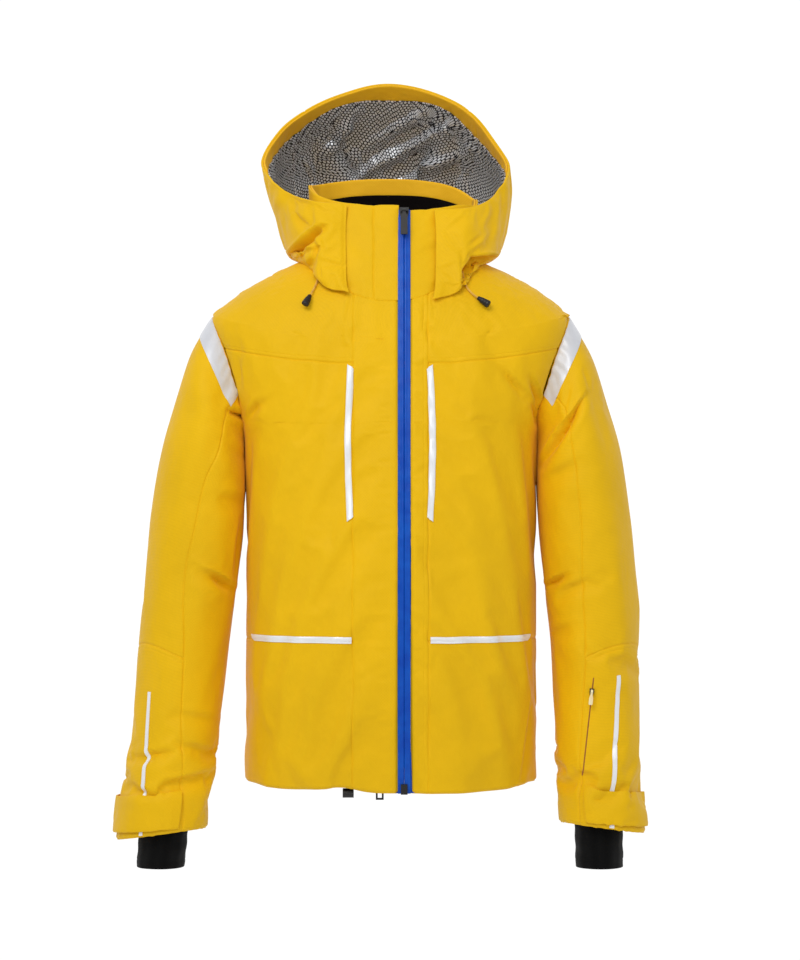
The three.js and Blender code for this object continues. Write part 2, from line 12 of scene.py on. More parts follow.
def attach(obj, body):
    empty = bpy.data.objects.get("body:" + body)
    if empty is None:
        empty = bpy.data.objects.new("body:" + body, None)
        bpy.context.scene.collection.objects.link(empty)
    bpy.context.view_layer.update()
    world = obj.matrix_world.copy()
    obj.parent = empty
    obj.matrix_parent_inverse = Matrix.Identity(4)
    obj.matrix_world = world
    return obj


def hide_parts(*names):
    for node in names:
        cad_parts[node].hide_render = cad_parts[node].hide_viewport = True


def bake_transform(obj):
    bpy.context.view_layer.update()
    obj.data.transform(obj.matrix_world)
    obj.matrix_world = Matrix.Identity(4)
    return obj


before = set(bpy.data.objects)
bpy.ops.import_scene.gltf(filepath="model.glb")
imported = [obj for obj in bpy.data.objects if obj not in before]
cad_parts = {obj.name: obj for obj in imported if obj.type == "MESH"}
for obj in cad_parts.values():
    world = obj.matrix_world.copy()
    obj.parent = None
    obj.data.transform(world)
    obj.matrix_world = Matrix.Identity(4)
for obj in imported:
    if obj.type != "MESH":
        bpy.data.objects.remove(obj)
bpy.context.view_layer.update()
MM = 0.001
SIDES = {"right": -1, "left": 1}

# ---------------------------------------------------------------- dimensions shared with the CAD
ZIP_RADIUS = 1600
ZIP_CENTRE_Y = 1363
ZIP_CENTRE_Z = -527
ZIP_X = 17
ZIP_TOP_Z = 36
ZIP_BOTTOM_Z = -708
STRIP_X = 48
SHELL = 3
SUPERELLIPSE = 2.4
ARMHOLE_HALF_ANGLE = 20
ARMHOLE_LOOP = 6
# height at the side, half width, y of the side, y of the back, height in front, height behind
TORSO = [
    [-706, 187, -92, 42, -709, -714],
    [-610, 186, -92, 38, -611, -614],
    [-500, 185, -92, 36, -500, -502],
    [-380, 185, -91, 44, -381, -382],
    [-290, 186, -90, 54, -292, -290],
    [-238, 191, -88, 58, -240, -236],
    [-165, 218, -84, 56, -184, -165],
    [-99, 230, -80, 42, -130, -92],
    [-68, 191, -77, 26, -105, -52],
    [-44, 150, -74, 12, -92, -24],
    [-22, 104, -70, 2, -82, -2],
]
# The same six for the collar's foot, in the order half width, y of the side, y of the back, height
# at the side, in front and behind, and how much each changes up to its top.
COLLAR_FOOT = (104, -70, 2, -22, -82, -2)
COLLAR_RISE = (4, 6, -6, 95, 124, 94)
# centre of the ring, vector to its outer point, vector to its front point
SLEEVE = [
    [[227, -86, -204], [32, 0, 56], [4, -70, -2]],
    [[236.5, -88, -254], [42, 0, 46], [1, -75, 0]],
    [[246, -90, -308], [52, 0, 36], [0, -75, 0]],
    [[252.5, -92, -375], [58, 0, 20], [0, -73, 0]],
    [[258.5, -94, -446], [59.5, 0, 6], [0, -70, 0]],
    [[264, -97, -524], [57, 0, 4], [0, -67, -2]],
    [[266, -108, -608], [54.5, 0, 0], [0, -63, -5]],
    [[268.5, -120, -686], [53.5, 0, -4], [0, -60, -3]],
    [[272.5, -133, -760], [54, 0, -7], [0, -57, 4]],
]
SHOULDER_LOOP = 7
SHOULDER_STRAIGHT = 0.85
RIGHT_SPLAY = 27
RIGHT_DROP = 8
RIGHT_FLARE = 8
SPLAY_FROM_Z = -450
CUFF_Z = -760


# ---------------------------------------------------------------- curves and surfaces
def catmull(table, t):
    """Catmull-Rom values at t, counted in rows, through the rows of a table."""
    table = np.asarray(table, float)
    t = np.asarray(t, float)
    last = len(table) - 1
    i = np.clip(np.floor(t).astype(int), 0, last - 1)
    f = (t - i).reshape(t.shape + (1,) * (table.ndim - 1))
    a, b, c, d = (table[np.clip(i + k, 0, last)] for k in (-1, 0, 1, 2))
    return b + 0.5 * f * (c - a + f * (2 * a - 5 * b + 4 * c - d + f * (3 * (b - c) + d - a)))


def bell(offset, width):
    """1 where offset is 0, falling smoothly to 0.37 at width and to nearly 0 at twice that."""
    return np.exp(-((offset / width) ** 2))


def ramp(value, start, end):
    """0 up to start, 1 from end on, and straight between them."""
    return np.clip((value - start) / (end - start), 0, 1)


def nearest(places, value):
    return int(np.argmin(np.abs(places - value)))


def power(value, exponent):
    return np.sign(value) * np.abs(value) ** exponent


def zip_y(z):
    return ZIP_CENTRE_Y - np.sqrt(ZIP_RADIUS**2 - (z - ZIP_CENTRE_Z) ** 2)


def ring_point(angle, half_width, side_y, front_y, back_y, side_z, front_z, back_z):
    s, c = np.sin(np.radians(angle)), np.cos(np.radians(angle))
    depth = np.where(c > 0, side_y - front_y, back_y - side_y)
    end_z = np.where(c > 0, front_z, back_z)
    x = half_width * power(s, 2 / SUPERELLIPSE)
    y = side_y - depth * power(c, 2 / SUPERELLIPSE)
    return np.stack([x, y, side_z + (end_z - side_z) * c * c], -1)


def torso(angle, loop):
    angle, loop = np.broadcast_arrays(np.asarray(angle, float), np.asarray(loop, float))
    side_z, half, side_y, back_y, front_z, back_z = np.moveaxis(catmull(TORSO, loop), -1, 0)
    # the shoulder line runs straight up from the armhole's top
    share = np.clip(loop - SHOULDER_LOOP, 0, 1)
    straight = np.where((share > 0) & (share < 1), SHOULDER_STRAIGHT, 0)
    start, end = TORSO[SHOULDER_LOOP], TORSO[SHOULDER_LOOP + 1]
    side_z = side_z + straight * (start[0] + (end[0] - start[0]) * share - side_z)
    half = half + straight * (start[1] + (end[1] - start[1]) * share - half)
    return ring_point(angle, half, side_y, zip_y(front_z), back_y, side_z, front_z, back_z)


def angle_at(x, half_width):
    return np.degrees(np.arcsin(power(x / half_width, SUPERELLIPSE / 2)))


def armhole(loop):
    off = np.minimum(1, np.abs(loop - ARMHOLE_LOOP))
    return ARMHOLE_HALF_ANGLE * np.sqrt(1 - off * off)


def on_yoke(angle, loop, height=7, step=0.02):
    """A point that far above the yoke, as a list."""
    du = torso(angle + step, loop) - torso(angle - step, loop)
    dv = torso(angle, loop + step) - torso(angle, loop - step)
    normal = np.cross(du, dv)
    return (torso(angle, loop) + normal / np.linalg.norm(normal) * height).tolist()


# Lines of the hood from its neck up to its rim, from the middle of the crown round to one front.
HOOD = np.array([
    [[0, 10, 4], [0, 92, -46], [0, 178, 2], [0, 172, 118], [0, 75, 222]],
    [[62, 0, 4], [76, 78, -40], [88, 155, 2], [92, 150, 112], [70, 63, 206]],
    [[98, -34, -4], [120, 26, -26], [142, 92, 6], [146, 92, 94], [126, 40, 170]],
    [on_yoke(91, 9.75), [137, -42, -22], [150, -8, 8], [160, 2, 66], [162, -6, 116]],
    [on_yoke(66, 9.47), [137, -92, -24], [144, -74, 4], [154, -56, 50], [158, -50, 86]],
    [on_yoke(47.5, 9.39), [117, -142, -42], [124, -126, -8], [130, -104, 32], [132, -92, 58]],
    [on_yoke(33, 9.32), [88, -165, -54], [92, -152, -16], [96, -142, 18], [98, -128, 47]],
    [on_yoke(19.5, 9.3), [58, -168, -60], [59, -153, -16], [59, -143, 14], [58, -135, 44]],
])
# Places on the hood: u counts those lines, below 0 on the wearer's left, and v their points.
HOOD_END = len(HOOD) - 1
HOOD_RIM = 4
HOOD_SIDE = 1.7
HOOD_FOLD_LINE = 3.6
HOOD_NECK = 1.5
BRIM_START = 3.72


def hood_grid(us, vs):
    """Points of the hood, one row for each v and one column for each u, from left to right."""
    lines = np.stack([catmull(line, vs) for line in HOOD])
    mirrored = np.concatenate([lines[1:2] * [-1, 1, 1], lines])
    grid = catmull(mirrored, np.abs(us) + 1)
    grid[us > 0] *= [-1, 1, 1]
    return grid.swapaxes(0, 1)


COLLAR_LEFT_DROP = 7.0
COLLAR_DIP = 31
COLLAR_BACK_DROP = 6
COLLAR_SIDE_DROP = 6
COLLAR_END_DROP = 13
COLLAR_END_OUT = 7


def collar_grid(angles, ts):
    """Points of the collar. The wearer's right front is a little taller than the left."""
    t = np.asarray(ts, float)[:, None]
    angles = np.broadcast_to(angles, (len(t), np.shape(angles)[-1]))
    half, side_y, back_y, side_z, front_z, back_z = (
        foot + rise * t for foot, rise in zip(COLLAR_FOOT, COLLAR_RISE)
    )
    grid = ring_point(angles, half, side_y, zip_y(front_z), back_y, side_z, front_z, back_z)
    c = np.cos(np.radians(angles))
    front, back = np.clip(c, 0, 1), np.clip(-c, 0, 1)
    left = ramp(grid[..., 0], 0, COLLAR_FOOT[0])
    grid[..., 2] -= front**2 * np.where(angles > 180, 0, COLLAR_LEFT_DROP) * t
    grid[..., 2] -= (front - front**2) * COLLAR_DIP * t
    grid[..., 2] -= (COLLAR_BACK_DROP * back**2 + COLLAR_SIDE_DROP * left**2) * t
    # the wearer's left corner falls over a little
    grid[..., 2] -= COLLAR_END_DROP * left**10 * t
    grid[..., 0] += COLLAR_END_OUT * left**10 * t
    return grid


def sleeve_grid(side, angles, rings):
    """Points of a sleeve; angles has one row for each ring. Ring 0 is the armhole."""
    turn = np.radians(angles)
    grid = np.zeros(angles.shape + (3,))
    for k, ring in enumerate(rings):
        c, s = np.cos(turn[k])[:, None], np.sin(turn[k])[:, None]
        top = torso(90 - ARMHOLE_HALF_ANGLE * s[:, 0], ARMHOLE_LOOP + c[:, 0])
        stack = [top] + [np.array(m) + np.array(a) * c + np.array(b) * s for m, a, b in SLEEVE]
        grid[k] = catmull(np.stack(stack), np.array(ring))
    if side < 0:
        share = np.clip((SPLAY_FROM_Z - grid[..., 2]) / (SPLAY_FROM_Z - CUFF_Z), 0, None)
        flare = RIGHT_FLARE * (1 - np.cos(turn)) / 2
        grid[..., 0] = -grid[..., 0] + (flare - RIGHT_SPLAY) * share
        grid[..., 2] -= RIGHT_DROP * share
    return grid


# ---------------------------------------------------------------- camera
CAMERA = (0.0117, -4.59, -0.312)
LENS = 129.6


def add_object(name, data, place=(0, 0, 0), target=None):
    """An object in the scene, turned towards its target if it has one."""
    obj = bpy.data.objects.new(name, data)
    bpy.context.scene.collection.objects.link(obj)
    obj.location = place
    if target is not None:
        obj.rotation_euler = (Vector(target) - obj.location).to_track_quat("-Z", "Y").to_euler()
    return obj


def camera():
    data = bpy.data.cameras.new("camera")
    data.lens = LENS
    data.clip_end = 50
    target = (CAMERA[0], 0, CAMERA[2])
    bpy.context.scene.camera = add_object("camera", data, CAMERA, target)


camera()


# ---------------------------------------------------------------- node trees
WAVE_BANDS = 20  # bands to a metre of a wave texture whose scale is 1
SHADER_SOCKETS = {
    "colour": "Base Color", "roughness": "Roughness", "metallic": "Metallic", "normal": "Normal",
    "sheen": "Sheen Weight", "sheen_roughness": "Sheen Roughness", "coat": "Coat Weight",
    "coat_roughness": "Coat Roughness", "specular": "Specular IOR Level",
}


class Nodes:
    """A short way to write a node tree: each call adds a node, sets and links its sockets."""

    def __init__(self, tree):
        self.tree = tree

    def put(self, node, socket, value):
        target = node.inputs[socket]
        if isinstance(value, bpy.types.NodeSocket):
            self.tree.links.new(value, target)
        else:
            target.default_value = value

    def add(self, kind, output, sockets=(), **settings):
        """Adds a node, puts in its settings and then its sockets, and gives one of its outputs."""
        node = self.tree.nodes.new("ShaderNode" + kind)
        for key, value in settings.items():
            setattr(node, key, value)
        for socket, value in dict(sockets).items():
            self.put(node, socket, value)
        return node.outputs[output]

    def math(self, operation, a, b=0.0):
        return self.add("Math", 0, {0: a, 1: b}, operation=operation)

    def times(self, a, b):
        return self.math("MULTIPLY", a, b)

    def plus(self, a, b):
        return self.math("ADD", a, b)

    def vector(self, operation, a, b=(0, 0, 0)):
        output = "Value" if operation == "LENGTH" else "Vector"
        return self.add("VectorMath", output, {0: a, 1: b}, operation=operation)

    def uv(self):
        return self.add("TexCoord", "UV")

    def place(self):
        return self.add("TexCoord", "Object")

    def noise(self, vector, scale, detail=3.0, roughness=0.5):
        sockets = {"Vector": vector, "Scale": scale, "Detail": detail, "Roughness": roughness}
        return self.add("TexNoise", "Fac", sockets)

    def wave(self, vector, pitch, direction="X"):
        """Bands that repeat at that pitch in metres."""
        sockets = {"Vector": vector, "Scale": 1 / pitch / WAVE_BANDS}
        return self.add("TexWave", "Fac", sockets, bands_direction=direction, wave_profile="SIN")

    def spread(self, value, low, high, out_low, out_high, **settings):
        sockets = {"From Min": low, "From Max": high, "To Min": out_low, "To Max": out_high,
                   "Value": value}
        return self.add("MapRange", "Result", sockets, **settings)

    def mix(self, factor, a, b, data_type="RGBA"):
        return self.add("Mix", "Result", {"Factor": factor, "A": a, "B": b}, data_type=data_type)

    def bump(self, height, strength, distance, below=None):
        sockets = {"Height": height, "Strength": strength, "Distance": distance}
        if below is not None:
            sockets["Normal"] = below
        return self.add("Bump", "Normal", sockets)


class Surface(Nodes):
    """The node tree of a material."""

    def __init__(self, name):
        self.material = bpy.data.materials.new(name)
        self.material.use_nodes = True
        super().__init__(self.material.node_tree)

    def set(self, **sockets):
        for key, value in sockets.items():
            self.put(self.tree.nodes["Principled BSDF"], SHADER_SOCKETS[key], value)
        return self.material


# ---------------------------------------------------------------- stage and light
LIT_POINT = (0, -0.1, -0.35)
# name, place, size in metres, power in watts
LIGHTS = [
    ("key", (-0.95, -2.3, 1.7), 1.4, 35),
    ("front", (0.5, -2.1, 0.7), 1.0, 5),
    ("fill", (2.4, -2.6, 0.4), 2.5, 3),
]
WORLD_FRONT = 0.5
WORLD_BEHIND = 1.05
FLOOR_Z = -1.6
FLOOR_HALF = 3.0


def studio():
    """A white room with a soft key light on the viewer's left, a front light and a weak fill."""
    scene = bpy.context.scene
    scene.view_settings.view_transform = "Standard"
    scene.world = bpy.data.worlds.new("studio")
    scene.world.use_nodes = True
    n = Nodes(scene.world.node_tree)
    axes = n.add("SeparateXYZ", "Y", {0: n.add("TexCoord", "Generated")})
    strength = n.spread(axes, -0.1, 0.8, WORLD_FRONT, WORLD_BEHIND, interpolation_type="SMOOTHSTEP")
    background = n.tree.nodes["Background"]
    n.put(background, "Color", (1, 1, 1, 1))
    n.put(background, "Strength", strength)
    for name, place, size, power_w in LIGHTS:
        data = bpy.data.lights.new(name, "AREA")
        data.size = size
        data.energy = power_w
        add_object(name, data, place, LIT_POINT)
    mesh = bpy.data.meshes.new("floor")
    corners = [(x * FLOOR_HALF, y * FLOOR_HALF, FLOOR_Z)
               for x, y in ((-1, -1), (1, -1), (1, 1), (-1, 1))]
    mesh.from_pydata(corners, [], [(0, 1, 2, 3)])
    mesh.materials.append(Surface("floor").set(colour=(0.9, 0.9, 0.9, 1), roughness=0.8))
    add_object("floor", mesh)


studio()


# ---------------------------------------------------------------- node materials
def rgb(r, g, b):
    """Linear colour from sRGB numbers of 0 to 255."""
    linear = [((v / 255 + 0.055) / 1.055) ** 2.4 if v > 10 else v / 255 / 12.92 for v in (r, g, b)]
    return (*linear, 1)


def tinted(colour, factor):
    return (*(min(1, v * factor) for v in colour[:3]), 1)


def woven(name, colour, pitch=0.0006, roughness=0.62, sheen=0.06):
    """Plain-woven cloth: threads over and under at that pitch in metres, with uneven dye."""
    n = Surface(name)
    uv = n.uv()
    warp = n.wave(uv, pitch, "X")
    weft = n.wave(uv, pitch, "Y")
    under = n.times(n.math("SUBTRACT", 1.0, warp), n.math("SUBTRACT", 1.0, weft))
    thread = n.plus(n.times(warp, weft), under)
    shade = n.spread(n.noise(n.place(), 9.0, 4.0, 0.6), 0.3, 0.7, 0.0, 1.0)
    dyed = n.mix(shade, tinted(colour, 0.95), tinted(colour, 1.05))
    dark = n.times(n.spread(thread, 0.0, 0.5, 0.25, 0.0), 0.5)
    weave = n.bump(thread, 0.35, 0.00012)
    soft = n.bump(n.noise(n.place(), 55.0, 3.0, 0.55), 0.35, 0.004, weave)
    rough = n.plus(n.times(n.noise(uv, 900.0, 2.0), 0.12), roughness - 0.06)
    return n.set(colour=n.mix(dark, dyed, tinted(colour, 0.6)), roughness=rough, normal=soft,
                 sheen=sheen, sheen_roughness=0.45, specular=0.2)


DOT_PITCH = 5.2
DOT_WIDTH = 3.7
DOT_EDGE = 0.12  # how soft the edge of a dot is, as a share of its radius


def dotted_foil(name):
    """Dark grey cloth with a close lattice of silver foil dots."""
    n = Surface(name)
    uv = n.uv()
    cell = (DOT_PITCH * MM, DOT_PITCH * MM * math.sqrt(3), 1)

    def to_dot(shift):
        moved = n.vector("ADD", n.vector("DIVIDE", uv, cell), (shift, shift, 0))
        centred = n.vector("SUBTRACT", n.vector("FRACTION", moved), (0.5, 0.5, 0))
        return n.vector("LENGTH", n.vector("MULTIPLY", centred, (cell[0], cell[1], 0)))

    distance = n.math("MINIMUM", to_dot(0.0), to_dot(0.5))
    radius = DOT_WIDTH * MM / 2
    dot = n.spread(distance, radius * (1 + DOT_EDGE), radius * (1 - DOT_EDGE), 0.0, 1.0)
    dent = n.noise(n.place(), 60.0, 2.0)
    relief = n.bump(n.plus(dot, n.times(dent, 0.4)), 0.6, 0.0003)
    return n.set(colour=n.mix(dot, rgb(20, 22, 32), rgb(246, 250, 255)),
                 roughness=n.mix(dot, 0.7, 0.27, "FLOAT"), metallic=n.times(dot, 0.35),
                 normal=relief)


def reflective_tape(name, colour):
    """Silver tape of tiny glass beads, with fine creases."""
    n = Surface(name)
    beads = n.add("TexVoronoi", "Distance", {"Vector": n.uv(), "Scale": 2600.0})
    creases = n.noise(n.place(), 70.0, 4.0, 0.6)
    soft = n.bump(beads, 0.25, 0.0001, n.bump(creases, 0.3, 0.0012))
    base = n.mix(n.spread(creases, 0.3, 0.7, 0.0, 1.0), tinted(colour, 0.93), colour)
    return n.set(colour=base, roughness=0.34, metallic=0.12, normal=soft, coat=0.15,
                 coat_roughness=0.3)


def zip_film(name):
    """Glossy blue water-repellent film over a zip coil, which shows through as fine ribs."""
    n = Surface(name)
    ribs = n.wave(n.uv(), 0.0014, "Y")
    wear = n.noise(n.place(), 45.0, 4.0, 0.6)
    base = n.mix(n.spread(wear, 0.35, 0.7, 0.0, 1.0), rgb(1, 70, 180), rgb(10, 90, 198))
    soft = n.bump(ribs, 0.25, 0.0002, n.bump(n.noise(n.place(), 240.0, 2.0), 0.2, 0.0006))
    return n.set(colour=base, roughness=0.36, normal=soft, coat=0.12, coat_roughness=0.22,
                 specular=0.2)


def fleece(name, colour, height=0.0012):
    """Short brushed pile."""
    n = Surface(name)
    pile = n.noise(n.place(), 700.0, 4.0, 0.7)
    lumps = n.noise(n.place(), 120.0, 2.0)
    soft = n.bump(n.plus(pile, n.times(lumps, 0.6)), 0.8, height)
    return n.set(colour=n.mix(pile, tinted(colour, 0.55), tinted(colour, 1.5)), roughness=0.95,
                 normal=soft, sheen=0.12, sheen_roughness=0.5, specular=0.05)


def knit(name, colour):
    """Ribbed stretch knit: ribs along the length with small stitches across them."""
    n = Surface(name)
    uv = n.uv()
    ribs = n.wave(uv, 0.0024, "X")
    loops = n.wave(uv, 0.0011, "Y")
    fuzz = n.noise(n.place(), 800.0, 3.0)
    height = n.plus(ribs, n.times(loops, 0.3))
    base = n.mix(n.times(ribs, fuzz), tinted(colour, 0.6), tinted(colour, 1.7))
    return n.set(colour=base, roughness=0.85, normal=n.bump(height, 0.7, 0.0004), sheen=0.1,
                 specular=0.1)


def moulded(name, colour, roughness=0.42):
    """Moulded part with fine texture, and a painted highlight that makes its convex edges paler."""
    n = Surface(name)
    # painted highlight: the pointiest, convex edges are made paler
    edge = n.spread(n.add("NewGeometry", "Pointiness"), 0.52, 0.6, 0, 1)
    smear = n.noise(n.place(), 90.0, 3.0)
    return n.set(colour=n.mix(n.times(edge, 0.6), colour, tinted(colour, 2.2)),
                 roughness=n.plus(n.times(smear, 0.2), roughness - 0.1), metallic=0.0,
                 normal=n.bump(n.noise(n.place(), 900.0, 3.0), 0.25, 0.0002))


def braid(name, colour):
    """Braided cord."""
    n = Surface(name)
    place = n.place()
    across = n.wave(place, 0.0012, "DIAGONAL")
    fuzz = n.noise(place, 1500.0, 2.0)
    base = n.mix(n.times(across, fuzz), tinted(colour, 0.7), tinted(colour, 1.15))
    return n.set(colour=base, roughness=0.7, normal=n.bump(across, 0.6, 0.0003), sheen=0.2)


YELLOW = rgb(242, 191, 0)
SHELL_CLOTH = woven("shell_cloth", YELLOW)
POCKET_CLOTH = woven("pocket_cloth", tinted(YELLOW, 0.99))
HOOD_CLOTH = woven("hood_cloth", YELLOW)
# The facing's yellow is lighter than the shell's: painted light that lifts the shade inside the
# hood's brim and the collar.
FACING_CLOTH_PAINTED_LIGHT = woven("facing_cloth_painted_light", rgb(254, 192, 30))
FOIL = dotted_foil("dotted_foil")
TAPE = reflective_tape("reflective_tape", rgb(250, 252, 255))
STRIPE = reflective_tape("stripe_tape", rgb(222, 224, 230))
FILM = zip_film("zip_film")
BLACK_FLEECE = fleece("black_fleece", rgb(9, 4, 4))
STRETCH = knit("stretch_knit", rgb(8, 8, 8))
HOOK = fleece("hook_pile", rgb(24, 24, 26), 0.0006)
INNER_CLOTH = woven("inner_cloth", rgb(40, 43, 50), pitch=0.0004, roughness=0.5, sheen=0.1)
MOULDED = moulded("moulded_black", rgb(14, 12, 12))
PALE_PULL = moulded("pale_pull", rgb(246, 212, 150), 0.5)
CORD_BRAID = braid("cord_braid", rgb(246, 186, 66))
POCKET_COIL = braid("pocket_coil", rgb(176, 100, 28))


# ---------------------------------------------------------------- making pieces
SHARP_ANGLE = 50


def mesh_piece(name, points, faces, material, uvs=None):
    """An object from points in millimetres. uvs, in metres, has one row for each face corner."""
    mesh = bpy.data.meshes.new(name)
    mesh.from_pydata(np.asarray(points, float) * MM, [], faces)
    if uvs is not None:
        layer = mesh.uv_layers.new(name="UVMap")
        layer.data.foreach_set("uv", np.ascontiguousarray(uvs, np.float32).ravel())
    mesh.materials.append(material)
    mesh.polygons.foreach_set("use_smooth", [True] * len(mesh.polygons))
    mesh.set_sharp_from_angle(angle=math.radians(SHARP_ANGLE))
    mesh.update()
    return add_object(name, mesh)


def tube_piece(name, grid, material):
    """A closed solid from rings of points, capped at both ends."""
    rows, cols = grid.shape[:2]
    points = np.concatenate([grid.reshape(-1, 3), grid[0].mean(0)[None], grid[-1].mean(0)[None]])
    pairs = [(c, (c + 1) % cols) for c in range(cols)]
    quads = [(r * cols + c, r * cols + d, (r + 1) * cols + d, (r + 1) * cols + c)
             for r in range(rows - 1) for c, d in pairs]
    ends = []
    for c, d in pairs:
        ends.append((rows * cols, d, c))
        ends.append((rows * cols + 1, (rows - 1) * cols + c, (rows - 1) * cols + d))
    return mesh_piece(name, points, quads + ends, material)


def put_on(obj, body, slot, *nodes, fill=None):
    """Makes a finished piece ride on a body, or, when given a joint instead, bakes it where it is;
    either way it takes the place of those CAD nodes.
    """
    if isinstance(body, str):
        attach(obj, body)
    else:
        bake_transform(obj)
    if nodes:
        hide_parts(*nodes)
    return obj


# ---------------------------------------------------------------- drawcords
# The cords come out under the hood's front corners and lie on the yoke.
CORD_DIAMETER = 2.4
CORD_POINTS = 24
CORD_ROUTE = {
    "right": [(-92, -137.5, -42), (-93, -145, -50), (-95.5, -152, -59), (-98, -156.7, -65),
              (-100.8, -161, -70.5), (-103.3, -165, -75.3)],
    "left": [(92, -139.7, -44), (93.8, -148.3, -54), (97.4, -156, -64.7), (101.4, -159.5, -70),
             (105.8, -162.5, -74.6), (111.5, -165.2, -78.6)],
}
# distance along the toggle, radius
TOGGLE = [(-0.2, 0.3), (0, 2.1), (0.8, 2.7), (3.0, 2.9), (6.0, 3.7), (8.0, 4.1), (8.5, 3.8),
          (9.2, 3.8), (9.7, 4.3), (11.5, 4.6), (12.0, 4.3), (12.7, 4.3), (13.2, 4.8), (16.0, 5.0),
          (17.4, 4.6), (18.0, 3.6), (18.2, 0.3)]
TOGGLE_FLATNESS = 0.75


def drawcord(name):
    route = np.array([list(Vector(p) * MM) for p in CORD_ROUTE[name]])
    points = catmull(route, np.linspace(0, len(route) - 1, CORD_POINTS))
    curve = bpy.data.curves.new(f"cord_{name}", "CURVE")
    curve.dimensions = "3D"
    curve.bevel_depth = CORD_DIAMETER / 2 * MM
    curve.bevel_resolution = 4
    curve.use_fill_caps = True
    spline = curve.splines.new("POLY")
    spline.points.add(CORD_POINTS - 1)
    for target, p in zip(spline.points, points):
        target.co = (*p, 1)
    curve.materials.append(CORD_BRAID)
    cord = add_object(f"cord_{name}", curve)
    toggle = toggle_piece(name, points[-1], points[-1] - points[-2])
    put_on(cord, "jacket", "drawcord", f"drawcord_{name}")
    put_on(toggle, "jacket", "hardware", f"toggle_{name}")


def toggle_piece(name, end, direction):
    """A tapered cord end of soft plastic, with a rounded foot and two grip ribs."""
    along = np.array(direction) / np.linalg.norm(direction)
    across = np.cross(along, [0, -1, 0])
    across /= np.linalg.norm(across)
    out = np.cross(across, along)
    turn = np.linspace(0, 2 * np.pi, 32, endpoint=False)
    rings = []
    for z, r in TOGGLE:
        wide = (np.cos(turn) * r)[:, None] * across
        rings.append(wide + (np.sin(turn) * r * TOGGLE_FLATNESS)[:, None] * out + along * z)
    return tube_piece(f"toggle_{name}_piece", np.array(rings) + np.array(end) / MM, MOULDED)


for side_name in SIDES:
    drawcord(side_name)


# ---------------------------------------------------------------- creases and unevenness
LIP = 1.8  # height of the swelling beside a crease
FOLD_ABOVE = 0.55  # a crease is steeper above than below
FOLD_BELOW = 1.25
UNEVEN = 0.9


def normals(grid, closed=False):
    """Unit normals of a grid of points, from the differences between neighbours."""
    if closed:
        wide = np.concatenate([grid[:, -1:], grid, grid[:, :1]], 1)
        du = np.gradient(wide, axis=1)[:, 1:-1]
    else:
        du = np.gradient(grid, axis=1)
    n = np.cross(du, np.gradient(grid, axis=0))
    return n / np.maximum(np.linalg.norm(n, axis=-1, keepdims=True), 1e-9)


def fold_shift(grid, n, folds):
    """How far out each point goes for the creases, which are lines in X and Z on one face."""
    shift = np.zeros(grid.shape[:-1])
    flat = grid[..., [0, 2]]
    for line, depth, width, facing in folds:
        line = np.array(line, float)
        spans = np.linalg.norm(np.diff(line, axis=0), axis=1)
        starts = np.concatenate([[0], np.cumsum(spans)])
        near = np.full(shift.shape, 1e9)
        share = np.zeros(shift.shape)
        above = np.zeros(shift.shape)
        for k, span in enumerate(spans):
            way = (line[k + 1] - line[k]) / span
            up = np.array([-way[1], way[0]]) * (1 if way[0] > 0 else -1)
            offset = flat - line[k]
            along = np.clip(offset @ way, 0, span)
            away = np.linalg.norm(offset - along[..., None] * way, axis=-1)
            nearer = away < near
            share = np.where(nearer, (starts[k] + along) / starts[-1], share)
            above = np.where(nearer, offset @ up, above)
            near = np.minimum(near, away)
        strength = np.sin(np.pi * np.clip(share, 0.04, 0.96)) ** 0.6
        faces = np.clip(facing * -n[..., 1] * 3, 0, 1)
        steepness = 0.5 + 0.5 * np.tanh(above / width * 2)
        wide = width * (FOLD_BELOW + (FOLD_ABOVE - FOLD_BELOW) * steepness)
        lips = min(0.4 * abs(depth), LIP) * bell(near - 2 * wide, wide)
        shift += (np.sign(depth) * lips - depth * bell(near, wide)) * strength * faces
    return shift


def unevenness(grid):
    """Slow, shallow waves of padded cloth, in millimetres."""
    x, y, z = np.moveaxis(grid, -1, 0)
    waves = np.sin(x / 31 + 0.7 * np.sin(z / 47)) * np.sin(z / 63 + 0.9 * np.sin(x / 41 + y / 37))
    small = np.sin((x + y) / 17 + 1.3 * np.sin(z / 29)) * np.sin(z / 38 + np.sin(x / 23))
    return UNEVEN * (waves + 0.45 * small)


# ---------------------------------------------------------------- simulated cloth
FINE = 0.25  # rows and columns of the grid that points off the grid are read from
SMOOTHING = 70
SIM_FRAMES = 14
WELD = 0.02  # points this close, in millimetres, are sewn together
# grows is a vertex group: shrink_min is where it is 0 and shrink_max where it is 1
CLOTH = {
    "quality": 5, "mass": 0.3, "tension_stiffness": 15, "compression_stiffness": 15,
    "shear_stiffness": 5, "bending_stiffness": 1.5, "air_damping": 2, "vertex_group_mass": "held",
    "pin_stiffness": 1.0, "vertex_group_shrink": "grows", "shrink_min": -0.012,
    "shrink_max": -0.045,
}
CLOTH_GRAVITY = 0.03


